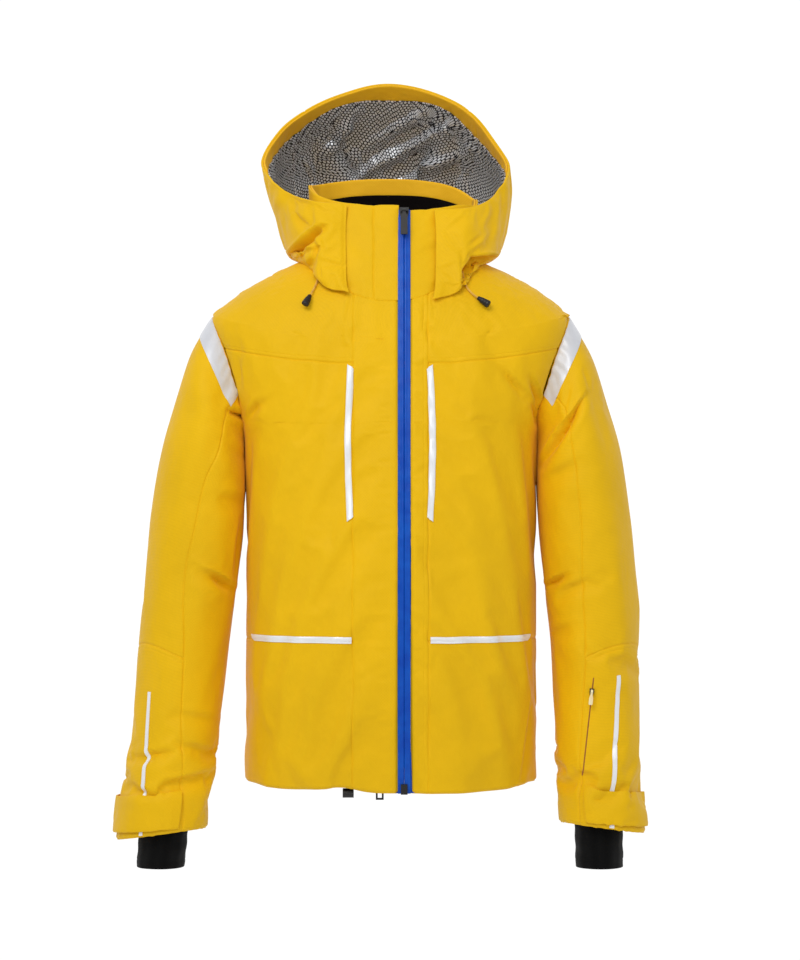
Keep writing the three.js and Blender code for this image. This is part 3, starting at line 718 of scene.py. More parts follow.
class Sheet:
    """A piece of cloth as a function of rows and columns, and how the simulation moved it."""

    def __init__(self, surface, rows, cols, closed=False, outward=1, pins=0.1, growth=0.0, cap=5.0,
                 folds=()):
        self.surface = surface
        self.folds = folds
        self.rows, self.cols = rows, cols
        self.closed = closed
        self.outward = outward
        self.growth = growth
        self.cap = cap
        steps = np.arange(rows + 1.0), np.arange(cols + (0.0 if closed else 1.0))
        self.rest = self.folded(*steps)
        self.pins = pins(*np.meshgrid(*steps, indexing="ij"))
        self.moved = np.zeros_like(self.rest)

    def folded(self, rows, cols):
        """The surface with its folds and slow unevenness pressed in."""
        grid = self.surface(rows, cols % self.cols if self.closed else cols)
        n = self.normals_at(grid, cols)
        return grid + n * (fold_shift(grid, n, self.folds) + unevenness(grid))[..., None]

    def quads(self):
        height, width = self.rest.shape[:2]
        r, c = np.meshgrid(np.arange(height - 1), np.arange(width if self.closed else width - 1),
                           indexing="ij")
        d = (c + 1) % width
        corners = [r * width + c, r * width + d, (r + 1) * width + d, (r + 1) * width + c]
        return np.stack(corners, -1).reshape(-1, 4)

    def moved_at(self, rows, cols):
        """What the simulation did, at fractional rows and columns."""
        values = self.moved
        if self.closed:
            values = np.concatenate([values[:, -2:], values, values[:, :3]], 1)
            cols = cols % self.cols + 2
        return catmull(catmull(values, rows).swapaxes(0, 1), cols).swapaxes(0, 1)

    def at(self, rows, cols, height=0.0):
        """Points at the grid of those rows and columns, that far out along the normal."""
        grid = self.folded(rows, cols) + self.moved_at(rows, cols)
        height = np.asarray(height, float)
        if np.any(height):
            grid = grid + self.normals_at(grid, cols) * height[..., None]
        return grid

    def anywhere(self, rows, cols, height):
        """Points at rows and columns that need not form a grid, that far out along the normal."""
        low, high = max(rows.min() - 1, 0), min(rows.max() + 1, self.rows)
        fine_rows = np.arange(low, high + 0.01, FINE)
        fine_cols = np.arange(cols.min() - 1, cols.max() + 1, FINE)
        base = self.at(fine_rows, fine_cols)
        both = np.concatenate([base, self.normals_at(base, fine_cols)], -1)
        i, j = (rows - fine_rows[0]) / FINE, (cols - fine_cols[0]) / FINE
        r = np.clip(i.astype(int), 0, len(fine_rows) - 2)
        c = np.clip(j.astype(int), 0, len(fine_cols) - 2)
        f, g = (i - r)[..., None], (j - c)[..., None]
        near = both[r, c] * (1 - g) + both[r, c + 1] * g
        far = both[r + 1, c] * (1 - g) + both[r + 1, c + 1] * g
        value = near * (1 - f) + far * f
        return value[..., :3] + value[..., 3:] * np.asarray(height, float)[..., None]

    def normals_at(self, grid, cols):
        turn = abs(cols[-1] - cols[0])
        return normals(grid, self.closed and self.cols - 2 < turn < self.cols) * self.outward


def smoothed(values, edges):
    """Values at points averaged with their neighbours many times over."""
    count = np.bincount(edges.ravel(), minlength=len(values))[:, None] + 1
    out = values
    for _ in range(SMOOTHING):
        total = out.copy()
        for axis in range(3):
            total[:, axis] += np.bincount(edges[:, 0], out[edges[:, 1], axis], len(out))
            total[:, axis] += np.bincount(edges[:, 1], out[edges[:, 0], axis], len(out))
        out = total / count
    return out


def simulate(sheets):
    """Lets all the sheets, joined where their points meet, buckle as cloth does.

    Each sheet keeps only the wrinkles: the slow part of the motion is taken away, and its cap
    is about as far as a point may go.
    """
    sizes = [s.rest[..., 0].size for s in sheets]
    offsets = np.cumsum([0] + sizes)
    points = np.concatenate([s.rest.reshape(-1, 3) for s in sheets])
    pins = np.concatenate([s.pins.ravel() for s in sheets])
    grows = np.repeat([s.growth for s in sheets], sizes)
    caps = np.repeat([s.cap for s in sheets], sizes)
    keys = np.round(points / WELD).astype(np.int64)
    _, first, back = np.unique(keys, axis=0, return_index=True, return_inverse=True)
    back = back.ravel()
    faces = back[np.concatenate([s.quads() + o for s, o in zip(sheets, offsets)])]
    whole = [list(dict.fromkeys(f)) for f in faces.tolist()]
    mesh = bpy.data.meshes.new("cloth_rest")
    mesh.from_pydata(points[first] * MM, [], [f for f in whole if len(f) > 2])
    obj = add_object("cloth_rest", mesh)
    held = np.zeros(len(first))
    np.maximum.at(held, back, pins)
    for group_name, weights in (("held", held), ("grows", grows[first])):
        group = obj.vertex_groups.new(name=group_name)
        for level in np.unique(np.round(weights, 2)):
            where = np.flatnonzero(np.round(weights, 2) == level)
            group.add(where.tolist(), float(level), "REPLACE")
    cloth = obj.modifiers.new("cloth", "CLOTH")
    for key, value in CLOTH.items():
        setattr(cloth.settings, key, value)
    cloth.settings.effector_weights.gravity = CLOTH_GRAVITY
    cloth.collision_settings.use_collision = False
    for frame_number in range(1, SIM_FRAMES + 1):
        bpy.context.scene.frame_set(frame_number)
    done = obj.evaluated_get(bpy.context.evaluated_depsgraph_get()).data
    result = np.empty(len(first) * 3, np.float32)
    done.vertices.foreach_get("co", result)
    shift = result.reshape(-1, 3) / MM - points[first]
    shift -= smoothed(shift, np.array([e.vertices[:] for e in mesh.edges]))
    size = np.linalg.norm(shift, axis=1)
    shift *= (np.tanh(size / caps[first]) * caps[first] / np.maximum(size, 1e-6))[:, None]
    for sheet, own in zip(sheets, np.split(shift[back], offsets[1:-1])):
        sheet.moved = own.reshape(sheet.rest.shape)
    bpy.context.scene.frame_set(1)
    bpy.data.objects.remove(obj)
    bpy.data.meshes.remove(mesh)


# ---------------------------------------------------------------- torso and sleeve sheets
STRIP_COLUMNS = 4
PANEL_COLUMNS = 38
FRONT_COLUMNS = STRIP_COLUMNS + PANEL_COLUMNS
BACK_COLUMNS = 86
TORSO_ROWS = 128
ARMHOLE_ROWS = (76, 108)
ROW_LOOPS = ((0, 0), (30, 1.8), (76, 5), (108, 7), (128, 10))  # rows and their loops
ZIP_CLEAR = 8.1  # from the middle of the zip to the fabric beside it
HEM_Z = (-650, -710)  # where the hem's own shape starts, and where it is whole
HEM_RISE_SIDE = 5.5
HEM_SIDE_X, HEM_SIDE_REACH = 190, 35
HEM_RISE_FRONT = 6.5
HEM_FRONT_X = -63
HEM_FRONT_REACH = (60, 28)  # to its right and to its left
HEM_FRONT_Y = (-92, -132)
SLEEVE_COLUMNS = 64
RING_ROWS = (0, 8, 16, 25, 36, 48, 60, 74, 87, 99)
SLEEVE_ROWS = RING_ROWS[-1]
# angle of the long front seam at each ring
LONG_SEAM = {
    "right": (112.5, 119, 113, 99, 91, 83, 95, 101, 111, 121),
    "left": (112.5, 104, 99, 98.5, 99, 104, 105, 114, 121, 125),
}
PRESS = 6.5  # the soft upper sleeve fills the gap to the body
PRESS_Z = -300
PRESS_REACH = 80


def loop_at(rows):
    start, end = ARMHOLE_ROWS
    turn = np.pi * (rows - start) / (end - start)
    beside = (rows > start) & (rows < end)
    return np.where(beside, ARMHOLE_LOOP - np.cos(turn), np.interp(rows, *np.transpose(ROW_LOOPS)))


def row_at(loop):
    rows = np.linspace(0, TORSO_ROWS, 4000)
    return float(np.interp(loop, loop_at(rows), rows))


def hem_shaped(grid):
    """The hem rises a little at both sides, and beside the zip on the wearer's right."""
    x, y, z = np.moveaxis(grid, -1, 0)
    at_side = HEM_RISE_SIDE * bell(np.abs(x) - HEM_SIDE_X, HEM_SIDE_REACH)
    reach = np.where(x < HEM_FRONT_X, *HEM_FRONT_REACH)
    in_front = HEM_RISE_FRONT * bell(x - HEM_FRONT_X, reach) * ramp(y, *HEM_FRONT_Y)
    grid[..., 2] += ramp(z, *HEM_Z) ** 2 * (at_side + in_front)
    return grid


def front_surface(side):
    def surface(rows, cols):
        loop = loop_at(np.asarray(rows, float))[:, None]
        half = catmull(TORSO, loop)[..., 1]
        edge = angle_at(ZIP_X + side * ZIP_CLEAR, half)
        seam = side * angle_at(STRIP_X, half)
        outer = side * (90 - armhole(loop))
        c = np.asarray(cols, float)[None]
        strip = edge + (seam - edge) * c / STRIP_COLUMNS
        panel = seam + (outer - seam) * (c - STRIP_COLUMNS) / PANEL_COLUMNS
        return hem_shaped(torso(np.where(c < STRIP_COLUMNS, strip, panel), loop))
    return surface


def back_surface(rows, cols):
    loop = loop_at(np.asarray(rows, float))[:, None]
    start = 90 + armhole(loop)
    share = np.asarray(cols, float)[None] / BACK_COLUMNS
    return hem_shaped(torso(start + (360 - 2 * start) * share, loop))


def ring_row(ring):
    return np.interp(ring, np.arange(len(RING_ROWS)), RING_ROWS)


def sleeve_surface(name):
    def surface(rows, cols):
        rings = np.interp(rows, RING_ROWS, np.arange(len(RING_ROWS)))
        seam = catmull(LONG_SEAM[name], rings)[:, None]
        angles = seam + np.asarray(cols, float)[None] * 360 / SLEEVE_COLUMNS
        grid = sleeve_grid(SIDES[name], angles, rings)
        inside = np.clip(-np.cos(np.radians(angles)), 0, 1) ** 1.5
        grid[..., 0] -= SIDES[name] * PRESS * inside * bell(grid[..., 2] - PRESS_Z, PRESS_REACH)
        return grid
    return surface


# The pins functions say how firmly each point is held, from 0 to 1. These rows are held more.
SHOULDER_ROWS = (96, 116)
NECK_ROWS = (122, TORSO_ROWS)
CUFF_ROWS = (94, SLEEVE_ROWS)


def front_pins(rows, cols):
    near_shoulder = ramp(rows, *SHOULDER_ROWS) * 0.3
    near_neck = 0.8 * ramp(rows, *NECK_ROWS)
    return np.clip(0.08 + 0.9 * ramp(cols, 2, 0) + near_neck + near_shoulder, 0, 1)


def back_pins(rows, cols):
    return np.clip(0.08 + 0.9 * ramp(rows, *NECK_ROWS), 0, 1)


def sleeve_pins(rows, cols):
    return np.clip(0.06 + 0.6 * ramp(rows, 4, 0) + 0.4 * ramp(rows, *CUFF_ROWS), 0, 1)


# ---------------------------------------------------------------- hood and collar sheets
HOOD_ROWS = 64
HOOD_COLUMNS = 128
HOOD_LEAN = 10
HOOD_LEAN_Z, HOOD_LEAN_REACH = 140, 60
RIM_DROP = 8.0
EDGE_DROP = 5.0
CORNER_RISE = 9.0
CORNER_REACH = 0.9
HOOD_TUCK = 7.0
HOOD_HUG = 0.1
# Where each change starts and where it is whole, in X, in Z or in the hood's own u and v.
TUCK_Z, TUCK_X = (110, -10), (-60, -120)
LEFT_END_U = (4.2, 5.8)
RIM_V, EDGE_V = (2, HOOD_RIM), (1.6, 0.4)
HUG_Z, HUG_U, HUG_X = (-20, -34), (2.6, 3.4), (88, 113)
COLLAR_ROWS = 18
COLLAR_COLUMNS = 96


def hood_u(cols):
    return (np.asarray(cols, float) / HOOD_COLUMNS - 0.5) * 2 * HOOD_END


def hood_column(u):
    return (u / HOOD_END / 2 + 0.5) * HOOD_COLUMNS


def hood_row(v):
    return v / HOOD_RIM * HOOD_ROWS


def hood_surface(rows, cols):
    us = hood_u(cols)
    vs = np.asarray(rows, float) / HOOD_ROWS * HOOD_RIM
    grid = hood_grid(us, vs)
    # the hood leans towards the wearer's right, and is a little narrower low on that side
    grid[..., 0] -= HOOD_LEAN * bell(grid[..., 2] - HOOD_LEAN_Z, HOOD_LEAN_REACH)
    grid[..., 0] += HOOD_TUCK * ramp(grid[..., 2], *TUCK_Z) * ramp(grid[..., 0], *TUCK_X)
    # the wearer's left front hangs lower, at its rim and at its lower edge
    left_end = ramp(-us, *LEFT_END_U)[None]
    corner = bell(HOOD_END - np.abs(us), CORNER_REACH)[None] * np.where(us > 0, 1, 0.5)
    grid[..., 2] -= RIM_DROP * left_end * ramp(vs, *RIM_V)[:, None]
    grid[..., 2] += (CORNER_RISE * corner - EDGE_DROP * left_end) * ramp(vs, *EDGE_V)[:, None]
    # the fronts hug the collar
    hug = ramp(grid[..., 2], *HUG_Z) * ramp(np.abs(us), *HUG_U)[None]
    grid[..., 0] *= 1 - HOOD_HUG * hug * ramp(np.abs(grid[..., 0]), *HUG_X)
    return grid


def hood_pins(rows, cols):
    near_rim = ramp(rows, HOOD_ROWS - 7, HOOD_ROWS - 2)
    near_end = ramp(np.minimum(cols, HOOD_COLUMNS - cols), 4, 0)
    return np.clip(0.1 + 0.9 * near_rim + 0.9 * near_end, 0, 1)


def collar_surface(rows, cols):
    ts = np.asarray(rows, float) / COLLAR_ROWS
    half = (COLLAR_FOOT[0] + COLLAR_RISE[0] * ts)[:, None]
    start = angle_at(ZIP_X + ZIP_CLEAR, half)
    end = 360 + angle_at(ZIP_X - ZIP_CLEAR, half)
    return collar_grid(start + (end - start) * np.asarray(cols, float)[None] / COLLAR_COLUMNS, ts)


def collar_pins(rows, cols):
    ends = ramp(np.minimum(cols, COLLAR_COLUMNS - cols), 3, 0)
    return np.clip(0.12 + 0.5 * (rows < 2) + ends, 0, 1)


# Creases: points in X and Z, depth, width and 1 for the front or -1 for the back.
FOLDS = {
    "front_right": [
        ([(-197, -160), (-193, -189)], 3.2, 5, 1),
        ([(-172, -212), (-181, -231)], 4.8, 5, 1),
        ([(-150, -205), (-178, -222)], 2.4, 7, 1),
        ([(-186, -575), (-160, -640), (-150, -700)], 2.4, 12, 1),
        ([(-120, -560), (-110, -640)], 1.9, 12, 1),
    ],
    "front_left": [
        ([(180, -180), (190, -208), (191, -236)], 9.0, 4, 1),
        ([(142, -168), (174, -205)], 4.5, 4.5, 1),
        ([(179, -208), (193, -240)], 7.0, 4, 1),
        ([(187, -545), (169, -701)], 2.6, 4, 1),
        ([(100, -540), (118, -640)], 1.9, 14, 1),
        ([(60, -450), (120, -430)], 1.6, 14, 1),
    ],
    "sleeve_right": [
        ([(-208, -222), (-180, -234)], 11.0, 4, 1),
        ([(-196, -204), (-180, -231)], 4.8, 4, 1),
        ([(-230, -431), (-203, -452)], 9.6, 5, 1),
        ([(-252, -424), (-206, -453)], 4.0, 8, 1),
        ([(-224, -334), (-187, -343)], 4.0, 12, 1),
        ([(-194, -361), (-202, -436)], 4.0, 5, 1),
        ([(-215, -262), (-187, -290)], 3.2, 9, 1),
        ([(-272, -612), (-218, -622)], 2.6, 8, 1),
        ([(-270, -650), (-222, -664)], 3.2, 8, 1),
        ([(-330, -668), (-285, -660)], 3.2, 7, 1),
        ([(-335, -705), (-300, -716)], 3.2, 6, 1),
        ([(-285, -702), (-232, -690)], 3.5, 9, 1),
        ([(-208, -222), (-180, -234)], 6.4, 8, -1),
        ([(-250, -440), (-204, -452)], 8.0, 8, -1),
        ([(-300, -480), (-250, -470)], 4.8, 10, -1),
        ([(-270, -650), (-230, -660)], 3.2, 9, -1),
    ],
    "sleeve_left": [
        ([(252, -202), (214, -257), (193, -292)], 13.0, 4.5, 1),
        ([(240, -289), (203, -311)], 4.0, 10, 1),
        ([(229, -190), (224, -222)], 2.9, 5, 1),
        ([(240, -196), (231, -226)], 2.2, 5, 1),
        ([(222, -434), (200, -450)], 8.0, 5, 1),
        ([(232, -500), (206, -512)], 3.2, 9, 1),
        ([(250, -444), (214, -456)], 3.2, 8, 1),
        ([(240, -690), (215, -706)], 2.9, 9, 1),
        ([(300, -545), (325, -560)], 2.4, 9, 1),
        ([(249, -207), (211, -259), (193, -292)], 6.4, 8, -1),
        ([(250, -440), (204, -452)], 8.0, 8, -1),
        ([(300, -480), (250, -470)], 4.8, 10, -1),
        ([(270, -650), (230, -660)], 3.2, 9, -1),
    ],
    "hood": [
        ([(-150, -32), (-128, -16), (-100, 8), (-88, 14)], 20.0, 5, 1),
        ([(-132, -34), (-114, -18), (-98, -14)], 5.0, 4, 1),
        ([(-104, 6), (-97, -12), (-104, -34)], 4.0, 4, 1),
        ([(-118, -20), (-106, -42)], 3.0, 4, 1),
        ([(156, -24), (128, -26), (108, -30), (97, -44), (95, -60)], 21.0, 5.5, 1),
        ([(132, 6), (122, -8), (104, -22)], 4.0, 6, 1),
        ([(118, 4), (100, -12)], 2.0, 5, 1),
        ([(-128, 34), (-106, 16)], 3.0, 6, 1),
        ([(-150, 30), (-132, 62)], 2.5, 10, 1),
        ([(-148, 70), (-120, 48), (-96, 40)], 3.0, 6, 1),
        ([(142, 40), (122, 12)], 3.0, 8, 1),
        ([(150, 60), (128, 84)], 2.5, 9, 1),
        ([(-100, 40), (-72, 28)], 2.0, 6, 1),
        ([(100, 30), (74, 10)], 2.0, 6, 1),
        ([(-92, -30), (-58, -40)], 2.0, 5, 1),
        ([(90, -34), (62, -44)], 1.5, 6, 1),
        ([(-90, 140), (-40, 60)], 6.0, 16, -1),
        ([(70, 150), (50, 70)], 6.0, 16, -1),
        ([(-20, 60), (40, 20)], 6.0, 16, -1),
    ],
    "lining": [
        ([(96, 178), (40, 158), (-24, 130), (-60, 96)], 14.0, 9, -1),
        ([(100, 138), (60, 126), (14, 97), (-10, 70)], 14.0, 8, -1),
        ([(60, 200), (10, 176), (-40, 150)], 8.0, 9, -1),
        ([(-52, 200), (-72, 166), (-90, 138)], 11.0, 7, -1),
        ([(-56, 150), (-44, 120), (-38, 84)], 10.0, 8, -1),
        ([(-20, 120), (-14, 96), (-26, 66)], 5.0, 8, -1),
        ([(70, 100), (52, 84), (40, 60)], 6.0, 8, -1),
        ([(110, 150), (104, 110), (108, 70)], 5.0, 9, -1),
        ([(-118, 140), (-112, 100), (-116, 60)], 5.0, 9, -1),
        ([(-140, 110), (-120, 76)], 4.0, 9, -1),
    ],
}
FRONTS = {
    name: Sheet(front_surface(side), TORSO_ROWS, FRONT_COLUMNS, outward=side, pins=front_pins,
                folds=FOLDS["front_" + name])
    for name, side in SIDES.items()
}
BACK = Sheet(back_surface, TORSO_ROWS, BACK_COLUMNS, pins=back_pins)
SLEEVES = {
    name: Sheet(sleeve_surface(name), SLEEVE_ROWS, SLEEVE_COLUMNS, closed=True, outward=side,
                pins=sleeve_pins, growth=0.25, cap=6.0, folds=FOLDS["sleeve_" + name])
    for name, side in SIDES.items()
}
HOOD_SHEET = Sheet(hood_surface, HOOD_ROWS, HOOD_COLUMNS, pins=hood_pins, growth=0.3,
                   folds=FOLDS["hood"])
COLLAR = Sheet(collar_surface, COLLAR_ROWS, COLLAR_COLUMNS, pins=collar_pins, cap=2.0)
simulate([*FRONTS.values(), BACK, *SLEEVES.values(), HOOD_SHEET, COLLAR])


# ---------------------------------------------------------------- closed pieces from sheets
ROUND_STEPS = 4
SEAM_OFFSETS = (0.6, 1.2, 1.9, 2.8, 4, 5.2, 5.7, 6, 6.3, 6.8, 7.6, 9)
SEAM_CLEAR = 9.5
MIN_STEP = 0.15
SEAM_DEPTH = 1.1
SEAM_WIDTH = 1.3
PUFF = 0.5
STITCH_DEPTH = 0.35
STITCH_AT = 6.0
STITCH_WIDTH = 0.6


def rim_loops(height, width, closed):
    """Loops of (row, column) round the edges of a grid, each with the point one step inside."""
    if closed:
        c = np.arange(width)
        loops = [np.stack([0 * c, c], 1), np.stack([0 * c + height - 1, c[::-1]], 1)]
    else:
        bottom = [(0, c) for c in range(width)]
        right = [(r, width - 1) for r in range(1, height)]
        top = [(height - 1, c) for c in range(width - 2, -1, -1)]
        left = [(r, 0) for r in range(height - 2, 0, -1)]
        loops = [np.array(bottom + right + top + left)]
    inside = []
    for loop in loops:
        r = np.clip(loop[:, 0], 1, height - 2)
        c = loop[:, 1] if closed else np.clip(loop[:, 1], 1, width - 2)
        inside.append(np.stack([r, c], 1))
    return list(zip(loops, inside))


def arc_lengths(grid):
    """Distances along the rows and up the columns of a grid of points, in millimetres."""
    du = np.linalg.norm(np.diff(grid, axis=1), axis=-1)
    dv = np.linalg.norm(np.diff(grid, axis=0), axis=-1)
    u = np.concatenate([np.zeros((len(grid), 1)), np.cumsum(du, 1)], 1)
    v = np.concatenate([np.zeros((1, grid.shape[1])), np.cumsum(dv, 0)], 0)
    middle = grid.shape[1] // 2
    return u - u[:, middle:middle + 1], v


def slab_piece(name, outer, inner, material, closed=False, round_edge=0.0, uv=None):
    """A closed piece between two grids of points. round_edge is how far its edges bulge."""
    height, width = outer.shape[:2]
    wrap = np.concatenate([outer, outer[:, :1]], 1) if closed else outer
    u, v = arc_lengths(wrap) if uv is None else uv
    uv_width = wrap.shape[1]
    uv_table = np.stack([u, v], -1).reshape(-1, 2) * MM
    r, c = (a.ravel() for a in np.meshgrid(np.arange(height - 1), np.arange(uv_width - 1),
                                           indexing="ij"))
    d = (c + 1) % width
    front = np.stack([r * width + c, r * width + d, (r + 1) * width + d, (r + 1) * width + c], 1)
    low_uv, high_uv = r * uv_width + c, (r + 1) * uv_width + c
    front_uv = np.stack([low_uv, low_uv + 1, high_uv + 1, high_uv], 1)
    size = height * width
    points = [outer.reshape(-1, 3), inner.reshape(-1, 3)]
    faces = [front, front[:, ::-1] + size]
    face_uvs = [front_uv, front_uv[:, ::-1]]
    count = 2 * size
    turns = np.linspace(0, np.pi, ROUND_STEPS + 1)[1:-1] if round_edge else []
    for loop, inside in rim_loops(height, width, closed):
        top = outer[loop[:, 0], loop[:, 1]]
        low = inner[loop[:, 0], loop[:, 1]]
        away = top - outer[inside[:, 0], inside[:, 1]]
        away /= np.maximum(np.linalg.norm(away, axis=1, keepdims=True), 1e-9)
        middle, half = (top + low) / 2, (top - low) / 2
        ids = [loop[:, 0] * width + loop[:, 1]]
        for turn in turns:
            points.append(middle + half * math.cos(turn) + away * (round_edge * math.sin(turn)))
            ids.append(count + np.arange(len(loop)))
            count += len(loop)
        ids.append(ids[0] + size)
        flat = loop[:, 0] * uv_width + loop[:, 1]
        after = np.roll(flat, -1)
        for a, b in zip(ids, ids[1:]):
            faces.append(np.stack([np.roll(a, -1), a, b, np.roll(b, -1)], 1))
            face_uvs.append(np.stack([after, flat, flat, after], 1))
    points, faces, face_uvs = (np.concatenate(part) for part in (points, faces, face_uvs))
    a, b, c, d = (points[faces[:, k]] for k in range(4))
    if np.einsum("ij,ij->", a, np.cross(b, c)) + np.einsum("ij,ij->", a, np.cross(c, d)) < 0:
        faces, face_uvs = faces[:, ::-1], face_uvs[:, ::-1]
    return mesh_piece(name, points, faces, material, uv_table[face_uvs.ravel()])


def dense(end, step, seams, pitch, start=0.0):
    """Positions from start to end, closest together round the seams. pitch is mm to a step."""
    places = list(np.arange(start, end + 1e-6, step))
    if end - places[-1] > 1e-6:
        places.append(end)
    for seam in seams:
        places = [p for p in places if abs(p - seam) * pitch > SEAM_CLEAR or p in (start, end)]
    offsets = [0, *SEAM_OFFSETS, *(-k for k in SEAM_OFFSETS)]
    for seam in seams:
        places += [seam + k / pitch for k in offsets if start <= seam + k / pitch <= end]
    places = np.unique(np.round(places, 5))
    return places[np.concatenate([[True], np.diff(places) * pitch > MIN_STEP])]


def seam_height(distance, stitched=0):
    """Height of padded cloth beside a seam. stitched is 1 or -1 for one side, and 0 for none."""
    height = -SEAM_DEPTH * bell(distance, SEAM_WIDTH)
    height += PUFF * (1 - np.exp(-np.abs(distance) / 10)) * np.exp(-np.abs(distance) / 45)
    if stitched:
        height += stitch_height(distance, stitched * STITCH_AT, STITCH_DEPTH, STITCH_WIDTH)
    return height


def stitch_height(distance, at, depth, width):
    """The groove that a line of stitches presses into the cloth at that distance."""
    return -depth * bell(distance - at, width)


# ---------------------------------------------------------------- torso panels
POCKET_LOOP = 1.86
YOKE_LOOP = 6.35
BACK_YOKE_LOOP = 6.2
TORSO_PITCH = 6.2  # millimetres from one row or column of a torso sheet to the next
ARMHOLE_MIN_X = 100
ARMHOLE_SWELL = 1.3
HEM_FOLD = 2.2
HEM_STITCH = {"at": 22, "depth": 0.4, "width": 0.7}
BODY_FILL = 0.3
PANEL_STEP = 0.6  # rows or columns from one line of points to the next, away from seams
BACK_STEP = 1.0


def shell_depth(outer, rows):
    """Thickness of a torso sheet, which tapers off at the top of each armhole."""
    depth = np.full(outer.shape[:2], float(SHELL))
    for tip in outer[nearest(rows, ARMHOLE_ROWS[1]), [0, -1]]:
        if abs(tip[0]) > ARMHOLE_MIN_X:
            depth -= 0.85 * SHELL * bell(np.linalg.norm(outer - tip, axis=-1), 8)
    return depth


def cut(sheet, rows, cols, heights, node, material, part_rows, part_cols):
    """One closed panel: the part of a sheet between two rows and two columns."""
    outer = sheet.at(rows, cols, heights)
    inner = sheet.at(rows, cols, -shell_depth(outer, rows))
    r0, r1 = (nearest(rows, r) for r in part_rows)
    c0, c1 = (nearest(cols, c) for c in part_cols)
    u, v = arc_lengths(outer)
    window = np.s_[r0:r1 + 1, c0:c1 + 1]
    obj = slab_piece(node + "_cloth", outer[window], inner[window], material,
                     uv=(u[window], v[window]))
    slot = "pocket_fabric" if "pocket" in node else "shell"
    return put_on(obj, "jacket", slot, node, fill=BODY_FILL)


def armhole_height(distance):
    """Padded cloth swelling away from a seam whose two sides face different ways."""
    return ARMHOLE_SWELL * (1 - bell(distance, 2.5)) * np.exp(-distance / 50)


def edge_roll(distance):
    """Height near a folded edge, which rolls inward."""
    return -HEM_FOLD * bell(distance, 2.2)


def front_panels(name):
    sheet = FRONTS[name]
    pocket, yoke = row_at(POCKET_LOOP), row_at(YOKE_LOOP)
    rows = dense(TORSO_ROWS, PANEL_STEP, [0, pocket, yoke, TORSO_ROWS], TORSO_PITCH)
    cols = dense(FRONT_COLUMNS, PANEL_STEP, [0, STRIP_COLUMNS, FRONT_COLUMNS], TORSO_PITCH)
    u, v = arc_lengths(sheet.at(rows, cols))
    seam = nearest(cols, STRIP_COLUMNS)
    heights = seam_height(u - u[:, seam:seam + 1], stitched=-1)
    heights += edge_roll(u - u[:, :1]) + armhole_height(u[:, -1:] - u)
    panel = np.arange(len(cols)) >= seam
    for level in (pocket, yoke):
        heights += panel * seam_height(v - v[nearest(rows, level)][None], stitched=1)
    heights += edge_roll(v) + seam_height(v[-1:] - v)
    heights += stitch_height(v, **HEM_STITCH)
    beside = (STRIP_COLUMNS, FRONT_COLUMNS)
    parts = (
        ("pocket_panel", POCKET_CLOTH, (0, pocket), beside),
        ("chest_panel", SHELL_CLOTH, (pocket, yoke), beside),
        ("front_yoke", SHELL_CLOTH, (yoke, TORSO_ROWS), beside),
        ("centre_strip", SHELL_CLOTH, (0, TORSO_ROWS), (0, STRIP_COLUMNS)),
    )
    return [cut(sheet, rows, cols, heights, f"{node}_{name}", *part) for node, *part in parts]


def back_panels():
    yoke = row_at(BACK_YOKE_LOOP)
    rows = dense(TORSO_ROWS, BACK_STEP, [0, yoke, TORSO_ROWS], TORSO_PITCH)
    cols = dense(BACK_COLUMNS, BACK_STEP, [0, BACK_COLUMNS], TORSO_PITCH)
    u, v = arc_lengths(BACK.at(rows, cols))
    heights = seam_height(v - v[nearest(rows, yoke)][None], stitched=1)
    heights += armhole_height(u - u[:, :1]) + armhole_height(u[:, -1:] - u)
    heights += edge_roll(v) + seam_height(v[-1:] - v)
    for node, part_rows in (("back_panel", (0, yoke)), ("back_yoke", (yoke, TORSO_ROWS))):
        cut(BACK, rows, cols, heights, node, SHELL_CLOTH, part_rows, (0, BACK_COLUMNS))


# ---------------------------------------------------------------- trims on the front
# Each welt's place in X and Z. above is how far its face and its back lie over the cloth.
CHEST_WELT = {"inner": {"right": 47, "left": 45.5}, "width": 8, "top": -168, "bottom": -362,
              "bow": 3.5, "slant": 6, "above": (2.4, 0.6)}
HAND_WELT = {"inner": 50, "outer": 177, "top": -510, "bottom": -518.5, "slant": 4,
             "above": (1.9, 0.5)}


def surface_tree(objects):
    points, faces = [], []
    for obj in objects:
        count = len(points)
        points += [v.co.copy() for v in obj.data.vertices]
        faces += [tuple(i + count for i in p.vertices) for p in obj.data.polygons]
    return BVHTree.FromPolygons(points, faces)


def laid_on(tree, xs, zs, heights):
    """Points at x and z on the front of a surface, that far out from it."""
    grid = np.empty(xs.shape + (3,))
    for index in np.ndindex(xs.shape):
        start = Vector((xs[index] * MM, -1, zs[index] * MM))
        hit = tree.ray_cast(start, Vector((0, 1, 0)))[0]
        # a miss takes the point before it
        grid[index] = grid[index[0] - 1, index[1]] if hit is None else list(hit / MM)
    n = normals(grid)
    n *= np.where(n[..., 1:2] > 0, -1, 1)
    return grid + n * heights[..., None]


def flat_strip(name, tree, xs, zs, above, material):
    """A strip laid on a surface: xs and zs run along it in rows and across it in columns."""
    top, low = above
    across = np.linspace(-1, 1, xs.shape[1])[None]
    crown = top - (top - low) * 0.6 * np.abs(across) ** 4 + np.zeros(xs.shape)
    outer = laid_on(tree, xs, zs, crown)
    inner = laid_on(tree, xs, zs, np.full(xs.shape, low, float))
    return slab_piece(name, outer, inner, material)


